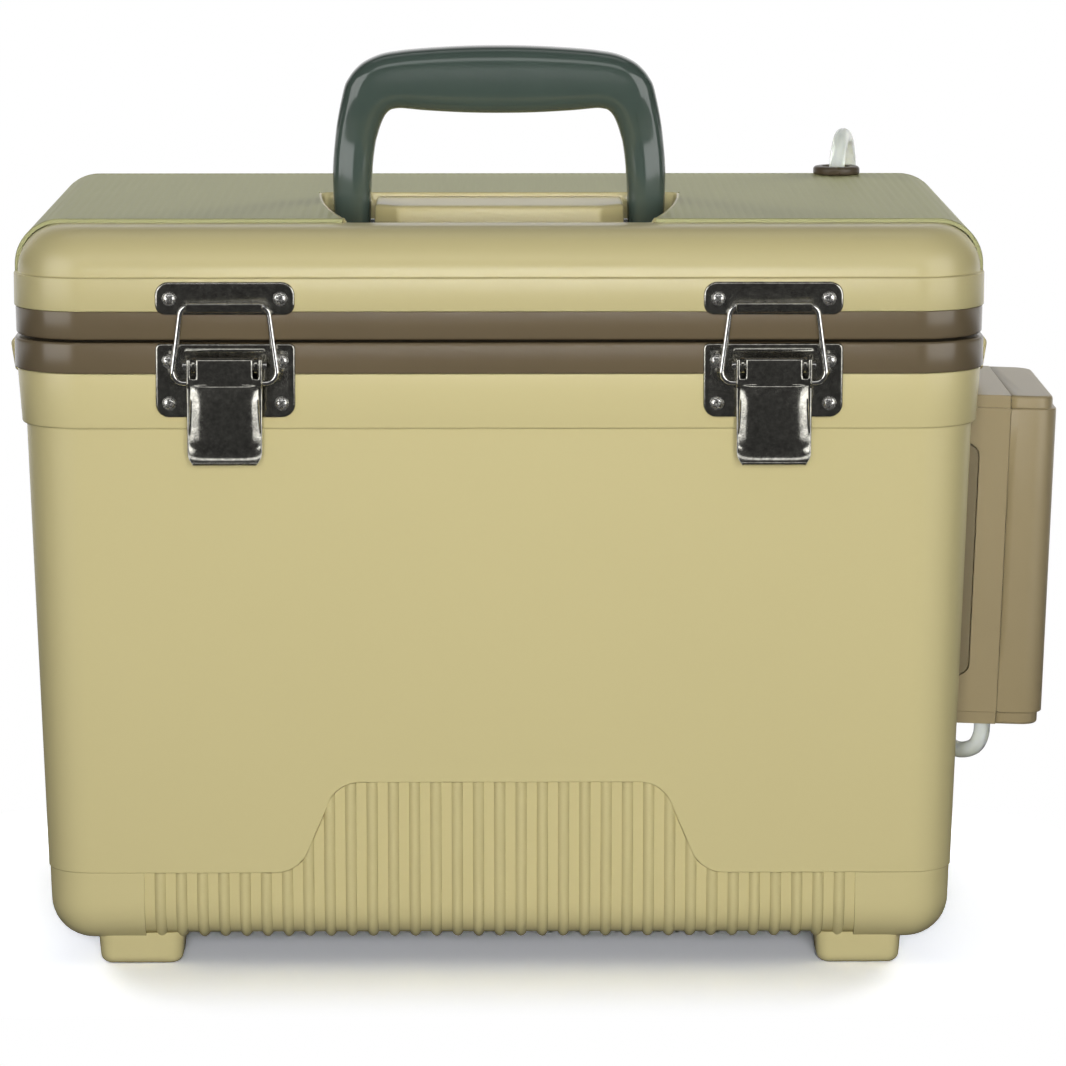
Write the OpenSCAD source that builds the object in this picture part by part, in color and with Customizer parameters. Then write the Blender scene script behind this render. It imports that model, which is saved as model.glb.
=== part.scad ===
// Aerated bait bucket: a foam-walled box with a hinged lid, two draw latches, a folding
// carrying handle, and a battery air pump hung on its right side. The pump feeds an air
// tube that runs up behind the box, over the lid and through a grommet to an air stone.
// +Z is up, the front faces -Y, the pump is on +X. The origin is on the floor under the
// middle of the box.

/* [Box] */
// Width of the box over its rim
box_w = 362; // [340:1:400]
// Depth of the box over its rim
box_d = 252; // [240:1:290]
// Height from the floor to the top of the lid
box_h = 283; // [270:1:320]
// Plan radius of the upright corners at the rim
corner_r = 28; // [26:1:32]
// Lean of the walls, in degrees
wall_draft = 2; // [1:0.5:2.5]
// Thickness of the moulded outer shell and lid cover
shell_t = 3; // [2.5:0.25:3.5]
// Radius of the bottom edge
floor_r = 16; // [12:1:18]
// Height of the feet
foot_h = 9.5; // [6:0.5:12]
// Width of each foot
foot_w = 33; // [24:1:36]
// Depth of each foot
foot_d = 28; // [20:1:32]

/* [Rims] */
// Height of the tan part of the lid
cover_h = 31.8; // [30:0.2:36]
// Height of the brown band of the lid
lid_rim_h = 10.6; // [9:0.2:12]
// Open seam between the two brown bands
seam_gap = 0.9; // [0.7:0.1:1.2]
// Height of the brown band of the tub
tub_rim_h = 11.7; // [11:0.1:14]
// Height of the collar under the tub's band
collar_h = 20.6; // [19:0.2:24]
// How far the wall under the collar stands back from the rim
wall_inset = 4.1; // [4:0.1:5.5]

/* [Ribbed foot zone] */
// Distance from one rib to the next
rib_pitch = 8; // [6:0.5:10]
// Number of ribs on the front and on the back
rib_count = 33; // [21:2:37]
// Depth of the grooves between the ribs
rib_depth = 1.2; // [0.8:0.1:1.6]
// Depth of the ledge where the wall stands over the ribbed zone
ledge_depth = 0.4; // [0.2:0.1:0.8]
// Height of the ribbed zone over the bottom of the tub
zone_h = 28.5; // [24:0.5:36]
// How far the middle bay rises above the rest of the zone
bay_rise = 35; // [24:1:44]
// Width of the bay's flat top
bay_top_w = 118; // [80:1:130]
// Width of the bay at its foot
bay_foot_w = 156; // [150:1:190]
// Radius of the bay's curves
bay_r = 13; // [8:1:16]

/* [Tub cavity] */
// Width of the cavity at its mouth
cavity_w = 304; // [290:1:310]
// Depth of the cavity at its mouth, front to back
cavity_d = 208; // [200:1:214]
// Height of the cavity
cavity_h = 212; // [190:1:214]
// Plan radius of the cavity's corners
cavity_r = 18; // [17:1:24]
// Lean of the cavity's walls, in degrees
cavity_draft = 2.4; // [1:0.2:2.6]
// Wall of the inner liner
liner_t = 2.5; // [2:0.25:3]
// Radius between the cavity's walls and its floor
cavity_floor_r = 7; // [4:1:8]

/* [Lid] */
// Radius of the lid's top edge
lid_edge_r = 17; // [14:0.5:20]
// Height of the lower, upright strip of the lid cover
strip_h = 12.3; // [12:0.1:14]
// How far the reeded panel stands proud of the rest of the cover
panel_rise = 1.5; // [1:0.25:2]
// Distance from the lid's front to the reeded panel
panel_edge = 28; // [24:1:32]
// How far the lid's plug reaches into the cavity
plug_h = 8; // [5:1:12]
// Thickness of the seal between the lid and the tub
seal_h = 2.1; // [1.8:0.1:2.6]
// Width of the seal
seal_w = 7; // [5:0.5:9]

/* [Handle and its well] */
// Distance of the handle's pivot in front of the middle of the box
handle_y = 8; // [6:1:10]
// Depth of the handle's pivot below the top of the lid
pivot_drop = 11; // [10.5:0.25:12]
// Height of the handle over the lid when it stands up
handle_h = 58.5; // [52:0.5:70]
// Distance between the middles of the handle's two legs
handle_span = 114.4; // [114:0.1:117]
// Width of a leg, seen from the front
leg_w = 15.2; // [14:0.2:16]
// Depth of a leg, front to back
leg_d = 16; // [14:0.5:17]
// Height of the grip at its middle
grip_h = 26.2; // [22:0.2:27]
// Depth of the grip, front to back
grip_d = 21; // [19:0.5:21]
// Depth of the well that takes the folded handle
well_depth = 22.5; // [22.5:0.25:24]
// Width of the well at the pivots
well_w = 140; // [138:1:144]
// Width of the well at its front
well_front_w = 116; // [112:1:122]
// Distance of the well's rear edge behind the middle of the box
well_rear = 11; // [9:1:14]
// Width of the island between the handle's legs
island_w = 96.8; // [90:0.2:97]
// Distance of the island's front in front of the middle of the box
island_front = 31.5; // [28:0.5:34]
// Size of the bevel on the island's front corners
island_bevel = 9; // [5:0.5:12]
// Radius of the handle's pivot pins
handle_pin_r = 2.5; // [2:0.25:3]

/* [Latches] */
// Distance of each latch from the middle of the box
latch_x = 101; // [95:1:108]
// Width of the latch's two plates
plate_w = 51.6; // [50:0.1:54]
// Height of the plate on the tub
base_h = 27.6; // [26:0.1:28]
// Height of the plate on the lid
strike_h = 12.3; // [11.5:0.1:12.3]
// Thickness of the latch's plates
plate_t = 1.2; // [1:0.1:1.5]
// Distance of the lever's pin below the top of the tub
lever_drop = 7.8; // [7:0.1:8.4]
// Distance of the lever's pin in front of the tub
lever_out = 5.2; // [5:0.1:5.6]
// Distance from the lever's pin to the bail's pivot
throw = 6.4; // [6:0.1:6.8]
// Length of the bail
bail_l = 28.5; // [28:0.1:29]
// Radius of the bail's wire
wire_r = 0.95; // [0.8:0.05:1]
// Width of the bail at its pivots, between the middles of its legs
bail_w = 39.4; // [38:0.2:42]
// Width of the bail at its bar, between the middles of its legs
bail_top_w = 33; // [32:0.2:38]
// Width of the lever at its hinge
lever_w = 28; // [27.6:0.1:28.4]
// Width of the lever's thumb piece
thumb_w = 26.4; // [20:0.2:27]
// Length of the lever below its pin
lever_l = 36; // [30:0.5:42]
// Thickness of the lever's sheet
lever_t = 1.2; // [1:0.1:1.3]
// Radius of the lever's pin
lever_pin_r = 1.5; // [1.3:0.1:1.6]
// Radius of the screw heads on the latches
screw_head_r = 2.6; // [2:0.1:3]

/* [Hinges] */
// Distance of each hinge from the middle of the box
hinge_x = 95; // [85:1:105]
// Radius of the hinge knuckles
knuckle_r = 5; // [4.5:0.1:5.3]
// Radius of the hinge rods
rod_r = 2; // [1.75:0.25:2.5]
// Width of the lid's knuckle
lid_knuckle_w = 16; // [12:1:22]
// Width of each of the tub's knuckles
tub_knuckle_w = 10; // [8:1:14]

/* [Strap lugs] */
// Width of each lug, front to back
lug_w = 12; // [8:1:20]
// How far each lug stands out from the collar
lug_out = 11.3; // [10:0.1:14]
// Radius of the hole for the strap's hook
lug_hole_r = 3.25; // [2.5:0.25:3.5]

/* [Pump] */
// Depth of the pump's middle below the top of the lid
pump_drop = 137; // [133:1:139]
// Height of the pump's case
pump_h = 128.7; // [128:0.1:134]
// Width of the pump's case, front to back
pump_w = 96; // [96:0.5:102]
// Thickness of the pump, from the box's wall outwards
pump_t = 38.4; // [38.4:0.1:42]
// Distance of the case's seam from the box's wall
pump_seam = 20.2; // [20:0.1:22]
// Wall of the pump's case
case_t = 1.8; // [1.5:0.1:1.8]
// Radius of the case's upright outer corners
case_r = 9; // [4:0.5:9]
// How far the end caps stand back from the case
cap_inset = 1.5; // [1:0.1:2]
// Height of each end cap
cap_h = 4.8; // [4:0.1:6]
// Radius of a battery cell
cell_r = 16.2; // [15.6:0.1:16.3]
// Length of a battery cell
cell_l = 61; // [58:0.5:61]
// Height of the bracket's side rails
rail_h = 90; // [70:1:96]
// How far the bracket's rails reach out from the wall
rail_out = 8.4; // [7:0.1:12]
// Thickness of the bracket's plate
bracket_t = 2.4; // [2:0.1:2.6]
// Radius of the pump's motor
motor_r = 12; // [10:0.5:12]
// Length of the pump's motor
motor_l = 26; // [20:1:28]
// Throw of the pump's crank
crank_throw = 1.6; // [1:0.1:2]
// Travel of the pump's switch
switch_travel = 4; // [3:0.5:5]

/* [Air tube] */
// Outer diameter of the air tube
tube_d = 6.4; // [5:0.1:6.6]
// Radius of the grommet's flange
grommet_r = 9.5; // [8:0.5:10]
// Height of the grommet's flange over the lid
grommet_h = 3.3; // [2.5:0.1:4]
// Radius of the air stone
stone_r = 8; // [6:0.5:8]
// Length of the air stone
stone_l = 26; // [20:1:40]

/* [Fits] */
// Gap between parts that do not touch
gap = 0.3; // [0.2:0.05:0.4]
// Radial clearance of a turning pin in its hole
running = 0.05; // [0.03:0.01:0.09]

/* [Hidden] */

round_fn = 48;
small_fn = 24;
tiny = 0.01;
far = 500;

// Heights, from the floor
body_z = foot_h;
cover_z = box_h - cover_h;
lid_z = cover_z - lid_rim_h;
seam_z = lid_z - seam_gap;
band_z = seam_z - tub_rim_h;
collar_z = band_z - collar_h;
zone_z = body_z + zone_h;
cavity_z = seam_z - cavity_h;
base_top_z = box_h - panel_rise;
well_z = box_h - well_depth;

// The hinge stands clear of the tub's band by twice the gap
hinge_y = box_d/2 + knuckle_r + 2*gap;
hinge_z = (seam_z + lid_z)/2;
pivot_z = box_h - pivot_drop;
pump_z = box_h - pump_drop;
lever_z = seam_z - lever_drop;
bail_z = lever_z - throw;

// Points of an arc about c, from angle a0 to a1
function arc(c, r, a0, a1, n) =
    [for (i = [0:n]) c + r*[cos(a0 + (a1 - a0)*i/n), sin(a0 + (a1 - a0)*i/n)]];

// A length in whole thousandths, so that flat and turned faces meet on the same points
function trim(v) = round(v*1000)/1000;

// A moulded body whose outline is a rounded rectangle. Its profile is a list of
// [distance outwards from the outline, height] from the bottom to the top.
module moulded(w, d, r, profile) {
    cx = w/2 - r;
    cy = d/2 - r;
    last = len(profile) - 1;
    section = [for (p = profile) [trim(p.x), trim(p.y)]];
    module slab(c) {
        polygon(concat([for (p = section) [c + r + p.x, p.y]],
            [for (i = [last:-1:0]) [-(c + r + section[i].x), section[i].y]]));
    }
    rotate([90, 0, 90]) translate([0, 0, -cx]) linear_extrude(2*cx) slab(cy);
    rotate([90, 0, 0]) translate([0, 0, -cy]) linear_extrude(2*cy) slab(cx);
    for (k = [0:3])
        translate([[1, -1, -1, 1][k]*cx, [1, 1, -1, -1][k]*cy, 0])
            rotate([0, 0, 90*k])
                rotate_extrude(angle = 90, $fn = round_fn)
                    polygon(concat([[0, section[0].y]], [for (p = section) [r + p.x, p.y]],
                        [[0, section[last].y]]));
}

// A profile drawn as [y, z], carried along X
module along_x(length) {
    rotate([90, 0, 90]) translate([0, 0, -length/2]) linear_extrude(length) children();
}

// A profile drawn as [distance in front of the tub, z], carried along X
module front_profile(length) {
    translate([0, -box_d/2, 0]) mirror([0, 1, 0]) along_x(length) children();
}

module rod_x(r, length) {
    rotate([0, 90, 0]) cylinder(r = r, h = length, center = true, $fn = small_fn);
}

module rod_y(r, length) {
    rotate([90, 0, 0]) cylinder(r = r, h = length, center = true, $fn = small_fn);
}

module at_latch(side) {
    translate([side*latch_x, 0, 0]) children();
}

// A closed skin over rings of points, all rings with as many points
module skin(rings) {
    n = len(rings[0]);
    m = len(rings);
    polyhedron(points = [for (ring = rings) each ring],
        faces = concat(
            [[for (j = [0:n - 1]) j]],
            [for (i = [0:m - 2], j = [0:n - 1])
                each [[i*n + j, (i + 1)*n + j, i*n + (j + 1)%n],
                      [i*n + (j + 1)%n, (i + 1)*n + j, (i + 1)*n + (j + 1)%n]]],
            [[for (j = [n - 1:-1:0]) (m - 1)*n + j]]));
}

function unit(v) = v/norm(v);

// A round tube through the points of a route, with its ends square to start and end
module tube(route, start, end, r = tube_d/2) {
    sides = 10;
    last = len(route) - 1;
    function heading(i) = i == 0 ? start : i == last ? end : unit(route[i + 1] - route[i - 1]);
    function across(i) = i == 0 ? unit(cross(start, [0.3, 1, 0.1])) :
        let (p = across(i - 1), h = heading(i)) unit(p - (p*h)*h);
    skin([for (i = [0:last])
        let (h = heading(i), u = across(i), v = cross(h, u))
            [for (j = [0:sides - 1]) route[i] + r*(u*cos(360*j/sides) + v*sin(360*j/sides))]]);
}

// ---------------------------------------------------------------- tub

// How far the tub's outer wall stands from the rim's outline at height z, below the collar
function wall_out(z) = -wall_inset - tan(wall_draft)*(collar_z - z);

// Section of the tub's outside, moved inwards by inset
function tub_section(inset) = concat(
    arc([wall_out(body_z + floor_r) - floor_r, body_z + floor_r], floor_r - inset, -90, 0, 6),
    [[wall_out(collar_z) - inset, collar_z]]);

// Section of the space inside the shell, clear of its wall by clear
function shell_space(clear) = concat(tub_section(shell_t + clear),
    [[wall_out(collar_z) - shell_t - clear, collar_z + shell_t],
     [-collar_out_low - shell_t - clear, collar_z + shell_t],
     [-collar_out_top - shell_t - clear, band_z]]);

collar_out_low = 2.5;
collar_out_top = 1;
collar_edge = 0.8;

// How far the collar stands from the rim's outline at height z
function collar_out(z) = -collar_out_low + (collar_out_low - collar_out_top)*(z - collar_z)/collar_h;

// Outline of the ribbed zone with its middle bay, drawn as [x, z]
module zone_outline(drop) {
    top = zone_z + bay_rise - drop;
    foot = zone_z - drop;
    half_top = bay_top_w/2 - drop;
    half_foot = bay_foot_w/2 - drop;
    right = concat(
        arc([half_foot + bay_r/2, foot + bay_r], bay_r, -90, -160, 5),
        arc([half_top - bay_r/2, top - bay_r], bay_r, 20, 90, 5));
    polygon(concat([[box_w/2, -tiny], [box_w/2, foot]], right,
        [for (i = [len(right) - 1:-1:0]) [-right[i].x, right[i].y]],
        [[-box_w/2, foot], [-box_w/2, -tiny]]));
}

module both_faces() {
    rotate([90, 0, 0]) translate([0, 0, -box_d]) linear_extrude(2*box_d) children();
}

module tub_outside() {
    moulded(box_w, box_d, corner_r, concat(tub_section(0),
        [[wall_out(collar_z), collar_z],
         [-collar_out_low - collar_edge, collar_z],
         [-collar_out_low, collar_z + collar_edge],
         [-collar_out_top, band_z]]));
}

// The ledge and the grooves of the ribbed zone, as what is cut from the tub
module zone_cuts() {
    difference() {
        both_faces() zone_outline(0);
        moulded(box_w, box_d, corner_r, tub_section(ledge_depth));
    }
    groove_w = rib_pitch/2;
    difference() {
        intersection() {
            both_faces() zone_outline(groove_w/2);
            for (i = [0:rib_count])
                translate([(i - rib_count/2)*rib_pitch - groove_w/2, -box_d, 0])
                    cube([groove_w, 2*box_d, zone_z + bay_rise]);
        }
        moulded(box_w, box_d, corner_r, tub_section(ledge_depth + rib_depth));
    }
}

foot_x = 136;
foot_y = 92;
foot_corner_r = 6;
foot_edge = 2.5;

module foot() {
    moulded(foot_w, foot_d, foot_corner_r, concat(
        arc([-foot_edge, foot_edge], foot_edge, -90, 0, 4), [[0, body_z + shell_t - tiny]]));
}

// Height of the strap hole above the bottom of the lug, and the lug's outline
lug_z = collar_z + 6;
lug_hole_z = band_z - 5.5;
lug_hole_out = 4.5;
module lug() {
    root = box_w/2 - collar_out_low - 1;
    clear = box_w/2 + gap;
    tip = box_w/2 - collar_out_top + lug_out;
    difference() {
        rotate([90, 0, 0]) translate([0, 0, -lug_w/2]) linear_extrude(lug_w)
            polygon([[root, lug_z - 2], [tip - 4, lug_z], [tip - 1.6, lug_z + 2], [tip, band_z - 2],
                [clear + 1, band_z + tub_rim_h - 3], [clear, band_z + tub_rim_h - 3],
                [clear, band_z - tiny], [root, band_z - tiny]]);
        translate([box_w/2 + lug_hole_out, 0, lug_hole_z]) rod_y(lug_hole_r, lug_w + 2);
    }
}

latch_screw_x = 20.7;
latch_screw_z = [seam_z - 6.6, seam_z - 22.3];
screw_shank_r = 1.5;
screw_shank_l = 2.7;

// The pilot holes of the latch plates' screws, in the tub
module base_screw_holes() {
    for (side = [-1, 1], sx = [-1, 1], z = latch_screw_z)
        translate([side*latch_x + sx*latch_screw_x, -box_d/2, z])
            rotate([-90, 0, 0]) translate([0, 0, -1]) cylinder(r = screw_shank_r, h = screw_shank_l + 1.1, $fn = small_fn);
}

// Flat pads on the collar that the latch plates lie on
module latch_pads() {
    for (side = [-1, 1])
        translate([side*latch_x - plate_w/2 + 1, -box_d/2, seam_z - base_h + 1])
            cube([plate_w - 2, collar_out_low + 1.2, band_z - (seam_z - base_h + 1)]);
}

module tub_shell() {
    color("#b4aa7d") difference() {
        union() {
            difference() {
                tub_outside();
                zone_cuts();
                moulded(box_w, box_d, corner_r, concat(shell_space(0),
                    [[-collar_out_top - shell_t, band_z + 1]]));
            }
            for (sx = [-1, 1], sy = [-1, 1])
                translate([sx*foot_x, sy*foot_y, 0]) foot();
            lug();
            mirror([1, 0, 0]) lug();
            latch_pads();
        }
        base_screw_holes();
        on_pump() bracket_screw_holes();
    }
}

// Half size of the cavity's outline at height z, as a distance inwards from its mouth
function cavity_out(z) = -tan(cavity_draft)*(seam_z - z);
cavity_edge = min(cavity_floor_r, cavity_r + cavity_out(cavity_z) - 1);

// Section of the cavity, grown by grow
function cavity_section(grow, top) = concat(
    arc([cavity_out(cavity_z) - cavity_edge, cavity_z + cavity_edge], cavity_edge + grow, -90, 0, 6),
    [[cavity_out(top) + grow, top]]);

module tub_foam() {
    color("#e8e2c8") difference() {
        moulded(box_w, box_d, corner_r, concat(shell_space(gap),
            [[-collar_out_top - shell_t - gap, seam_z - liner_t - gap]]));
        moulded(cavity_w, cavity_d, cavity_r, cavity_section(liner_t + gap, seam_z));
    }
}

module hinge_knuckle(width, sign) {
    reach = hinge_y - box_d/2 + 1;
    translate([0, hinge_y, hinge_z]) {
        rod_x(knuckle_r, width);
        along_x(width) polygon([[-reach, sign*(knuckle_r + 5)], [-reach, sign*(seam_gap/2)],
            [0, sign*(seam_gap/2)], [knuckle_r*cos(30), sign*knuckle_r*sin(30)],
            [knuckle_r*cos(50), sign*knuckle_r*sin(50)]]);
    }
}

tub_knuckle_x = lid_knuckle_w/2 + gap + tub_knuckle_w/2;

module tub_liner() {
    edge = 1;
    color("#6e5f4b") difference() {
        union() {
            difference() {
                moulded(box_w, box_d, corner_r,
                    [[0, band_z], [0, seam_z - edge], [-edge, seam_z]]);
                moulded(box_w, box_d, corner_r,
                    [[-shell_t - 0.2, band_z - 1], [-shell_t - 0.2, seam_z - liner_t]]);
            }
            moulded(cavity_w, cavity_d, cavity_r, cavity_section(liner_t, seam_z));
            for (side = [-1, 1], k = [-1, 1])
                translate([side*hinge_x + k*tub_knuckle_x, 0, 0]) hinge_knuckle(tub_knuckle_w, -1);
        }
        moulded(cavity_w, cavity_d, cavity_r, cavity_section(0, seam_z + 1));
        for (side = [-1, 1])
            translate([side*hinge_x, hinge_y, hinge_z]) rod_x(rod_r, 3*lid_knuckle_w + 2*tub_knuckle_w);
        base_screw_holes();
    }
}

module hinge_rods() {
    color("silver")
        for (side = [-1, 1])
            translate([side*hinge_x, hinge_y, hinge_z]) rod_x(rod_r, 2*(tub_knuckle_x + tub_knuckle_w/2));
}

// ---------------------------------------------------------------- lid

cover_step = 0.3;

// Section of the lid cover above its upright strip
function cover_top(out, top) =
    arc([out - lid_edge_r, top - lid_edge_r], lid_edge_r, 0, 90, 8);

// Section of the space inside the cover, clear of its wall by clear
function cover_space(clear, low) = concat(
    [[-shell_t - clear, low]],
    arc([-shell_t - clear - (lid_edge_r - shell_t), base_top_z - lid_edge_r], lid_edge_r - shell_t - clear, 0, 90, 8));

// Outline of the handle's well in plan, grown by grow
function well_points(grow) =
    let (front = box_d/2 - panel_edge)
    [[well_w/2 + grow, well_rear + grow], [well_w/2 - 0.6 + grow, -handle_y + 4],
     [(well_w + well_front_w)/4 + 1.6 + grow, -front/2],
     [well_front_w/2 + grow, -front + 2], [well_front_w/2 - 2 + grow, -front - grow]];

module well_outline(grow) {
    p = well_points(grow);
    polygon(concat(p, [for (i = [len(p) - 1:-1:0]) [-p[i].x, p[i].y]]));
}

// Outline of the island in plan, made smaller by shrink; it reaches back to rear
module island_outline(shrink, rear) {
    half = island_w/2 - shrink;
    front = -island_front + shrink;
    polygon([[half, rear], [half, front + island_bevel - shrink/2], [half - island_bevel + shrink/2, front],
        [-half + island_bevel - shrink/2, front], [-half, front + island_bevel - shrink/2], [-half, rear]]);
}

// The walls and floor round the well, as one block; the island is hollow from below
module well_block(clear) {
    difference() {
        translate([0, 0, well_z - shell_t - clear]) linear_extrude(well_depth + shell_t + clear - tiny)
            well_outline(shell_t + clear);
        translate([0, 0, well_z - shell_t - clear - 1]) linear_extrude(base_top_z - well_z + 1 + clear)
            island_outline(shell_t + clear, well_rear + shell_t + clear + 1);
    }
}

module well_pocket() {
    difference() {
        translate([0, 0, well_z]) linear_extrude(well_depth + 5) well_outline(0);
        translate([0, 0, well_z - 1]) linear_extrude(base_top_z - well_z + 1) island_outline(0, well_rear + 1);
    }
}

grommet_x = 138;
grommet_y = 94;
grommet_neck_r = 6;
grommet_grip = 2.2;
strike_screw_x = 20.4;
strike_screw_z = cover_z + 5;

module handle_pin_holes(r) {
    for (side = [-1, 1])
        translate([side*handle_span/2, -handle_y, pivot_z]) rod_x(r, well_w/2);
}

module lid_cover() {
    color("#b4aa7d") difference() {
        union() {
            moulded(box_w, box_d, corner_r, concat(
                [[0, cover_z], [0, cover_z + strip_h], [-panel_rise, cover_z + strip_h + cover_step]],
                cover_top(-panel_rise, base_top_z)));
            intersection() {
                moulded(box_w, box_d, corner_r, concat(
                    [[-cover_step, cover_z + strip_h - 1]], cover_top(-cover_step, box_h)));
                cube([2*box_w, box_d - 2*panel_edge, 2*box_h], center = true);
            }
        }
        difference() {
            moulded(box_w, box_d, corner_r, cover_space(0, cover_z - 1));
            well_block(0);
        }
        well_pocket();
        handle_pin_holes(handle_pin_r);
        translate([grommet_x, grommet_y, base_top_z - shell_t - 5]) cylinder(r = grommet_neck_r, h = 20, $fn = small_fn);
        for (side = [-1, 1], sx = [-1, 1])
            translate([side*latch_x + sx*strike_screw_x, -box_d/2, strike_screw_z])
                rotate([-90, 0, 0]) translate([0, 0, -1]) cylinder(r = screw_shank_r, h = screw_shank_l + 1.1, $fn = small_fn);
    }
}

flange_t = 4;

module lid_foam() {
    low = lid_z + flange_t + gap;
    color("#e8e2c8") difference() {
        moulded(box_w, box_d, corner_r, cover_space(gap, low));
        well_block(gap);
        translate([0, 0, well_z]) linear_extrude(far) well_outline(shell_t);
        translate([grommet_x, grommet_y, low - 1]) cylinder(r = tube_d/2 + 1, h = box_h, $fn = small_fn);
        translate([grommet_x, grommet_y, base_top_z - shell_t - grommet_grip - 2*gap])
            cylinder(r = grommet_neck_r + 2.5, h = box_h, $fn = small_fn);
    }
}

plug_clear = 2.2;
seal_x = 10;

// A ring between two outlines that follow the rim
module rim_ring(out, w, z0, z1) {
    difference() {
        moulded(box_w, box_d, corner_r, [[-out, z0], [-out, z1]]);
        moulded(box_w, box_d, corner_r, [[-out - w, z0 - 1], [-out - w, z1 + 1]]);
    }
}

module lid_liner() {
    edge = 1.4;
    set_back = 0.5;
    color("#5f5241") difference() {
        union() {
            difference() {
                moulded(box_w, box_d, corner_r,
                    [[-set_back - edge, lid_z], [-set_back - 0.3, lid_z + edge], [-set_back, cover_z]]);
                moulded(box_w, box_d, corner_r,
                    [[-shell_t - 0.2, lid_z + flange_t], [-shell_t - 0.2, cover_z + 1]]);
            }
            moulded(cavity_w, cavity_d, cavity_r,
                [[-plug_clear - 1.5, seam_z - plug_h], [-plug_clear - 0.5, seam_z - plug_h + 1], [-plug_clear, lid_z + 1]]);
            for (side = [-1, 1])
                translate([side*hinge_x, 0, 0]) hinge_knuckle(lid_knuckle_w, 1);
        }
        moulded(cavity_w, cavity_d, cavity_r,
            [[-plug_clear - 1.5 - liner_t, seam_z - plug_h + liner_t], [-plug_clear - liner_t, lid_z + flange_t + 1]]);
        rim_ring(seal_x, seal_w, lid_z - 1, seam_z + gap + seal_h);
        for (side = [-1, 1])
            translate([side*hinge_x, hinge_y, hinge_z]) rod_x(rod_r + running, 2*lid_knuckle_w);
        translate([grommet_x, grommet_y, seam_z - plug_h - 1]) cylinder(r = tube_d/2 + gap, h = 20, $fn = small_fn);
    }
}

module lid_seal() {
    color("#3a3a38") rim_ring(seal_x, seal_w, seam_z + gap, seam_z + gap + seal_h);
}

module tube_grommet() {
    low = base_top_z - shell_t;
    color("#3b3226") translate([grommet_x, grommet_y, 0]) difference() {
        union() {
            translate([0, 0, box_h]) rotate_extrude($fn = round_fn)
                polygon([[0, 0], [grommet_r - 0.6, 0], [grommet_r, 0.8], [grommet_r, grommet_h - 1.2],
                    [grommet_r - 1.2, grommet_h], [0, grommet_h]]);
            translate([0, 0, low - tiny]) cylinder(r = grommet_neck_r, h = box_h - low + 2*tiny, $fn = small_fn);
            translate([0, 0, low - grommet_grip]) cylinder(r = grommet_neck_r + 2, h = grommet_grip, $fn = small_fn);
        }
        translate([0, 0, low - grommet_grip - 1]) cylinder(r = tube_d/2 + gap, h = 20, $fn = small_fn);
        translate([0, 0, low]) cylinder(r1 = tube_d/2 + gap, r2 = tube_d/2 + 2.6, h = box_h + grommet_h - low + tiny, $fn = small_fn);
    }
}

module handle_pins() {
    color("silver")
        for (side = [-1, 1])
            translate([side*(island_w/2 + well_w/2)/2, -handle_y, pivot_z])
                rod_x(handle_pin_r, (well_w - island_w)/2 + 2*shell_t - 2.4);
}

// The handle: rings along its middle line, from one pivot up, across and down to the other
corner_path_r = 11;
leg_lean = 4.7;
// Half height of the handle where its legs turn into the grip
turn_half = 10.8;
module handle_form() {
    rise = handle_h + pivot_drop;
    half = handle_span/2;
    top = rise - grip_h/2 + 0.2;
    shoulder = half - leg_lean - corner_path_r;
    sides = 14;
    leg = [for (i = [0:6]) [half - leg_lean*pow(i/6, 3), (top - corner_path_r)*i/6]];
    bend = arc([shoulder, top - corner_path_r], corner_path_r, 12, 90, 5);
    grip = [for (i = [1:4]) [shoulder*(1 - i/4), top + 0.5*sin(90*i/4)]];
    right = concat(leg, bend, grip);
    n = len(right);
    line = concat(right, [for (i = [n - 2:-1:0]) [-right[i].x, right[i].y]]);
    count = len(line);
    // Half height across the path grows from the leg to the middle of the grip
    function swell(p) = let (k = min(1, max(0, (p.y - top/2)/(top/2)))) k*k*(3 - 2*k);
    function middle(p) = max(0, 1 - abs(p.x)/shoulder);
    function half_w(p) = leg_w/2 + (turn_half - leg_w/2)*swell(p) + (grip_h/2 - turn_half)*sqrt(middle(p));
    function half_d(p) = leg_d/2 + (grip_d - leg_d)/2*swell(p);
    function heading(i) = i == 0 ? [0, 1] : i == count - 1 ? [0, -1] : unit(line[i + 1] - line[i - 1]);
    function squircle(a, b, t) = [a*sign(cos(t))*pow(abs(cos(t)), 0.6), b*sign(sin(t))*pow(abs(sin(t)), 0.6)];
    translate([0, -handle_y, pivot_z])
        skin([for (i = [0:count - 1])
            let (p = line[i], h = heading(i), across = [h.y, -h.x])
                [for (j = [0:sides - 1])
                    let (s = squircle(half_w(p), half_d(p), 360*(j + 0.5)/sides))
                        [p.x + across.x*s.x, s.y, p.y + across.y*s.x]]]);
}

module handle() {
    color("#424d46") difference() {
        union() {
            handle_form();
            for (side = [-1, 1])
                translate([side*handle_span/2, -handle_y, pivot_z]) rod_x(leg_d/2 - 0.2, leg_w - 0.6);
        }
        handle_pin_holes(handle_pin_r + running);
    }
}

// ---------------------------------------------------------------- latches

plate_corner_r = 5;

// A plate with two round lower corners and two round upper corners, lying on the front
module front_plate(h, z, y) {
    translate([0, -box_d/2 + y, z]) rotate([90, 0, 0]) linear_extrude(plate_t)
        polygon(concat(
            arc([plate_w/2 - plate_corner_r, plate_corner_r], plate_corner_r, -90, 0, 5),
            arc([plate_w/2 - plate_corner_r, h - plate_corner_r], plate_corner_r, 0, 90, 5),
            arc([-plate_w/2 + plate_corner_r, h - plate_corner_r], plate_corner_r, 90, 180, 5),
            arc([-plate_w/2 + plate_corner_r, plate_corner_r], plate_corner_r, 180, 270, 5)));
}

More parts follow.
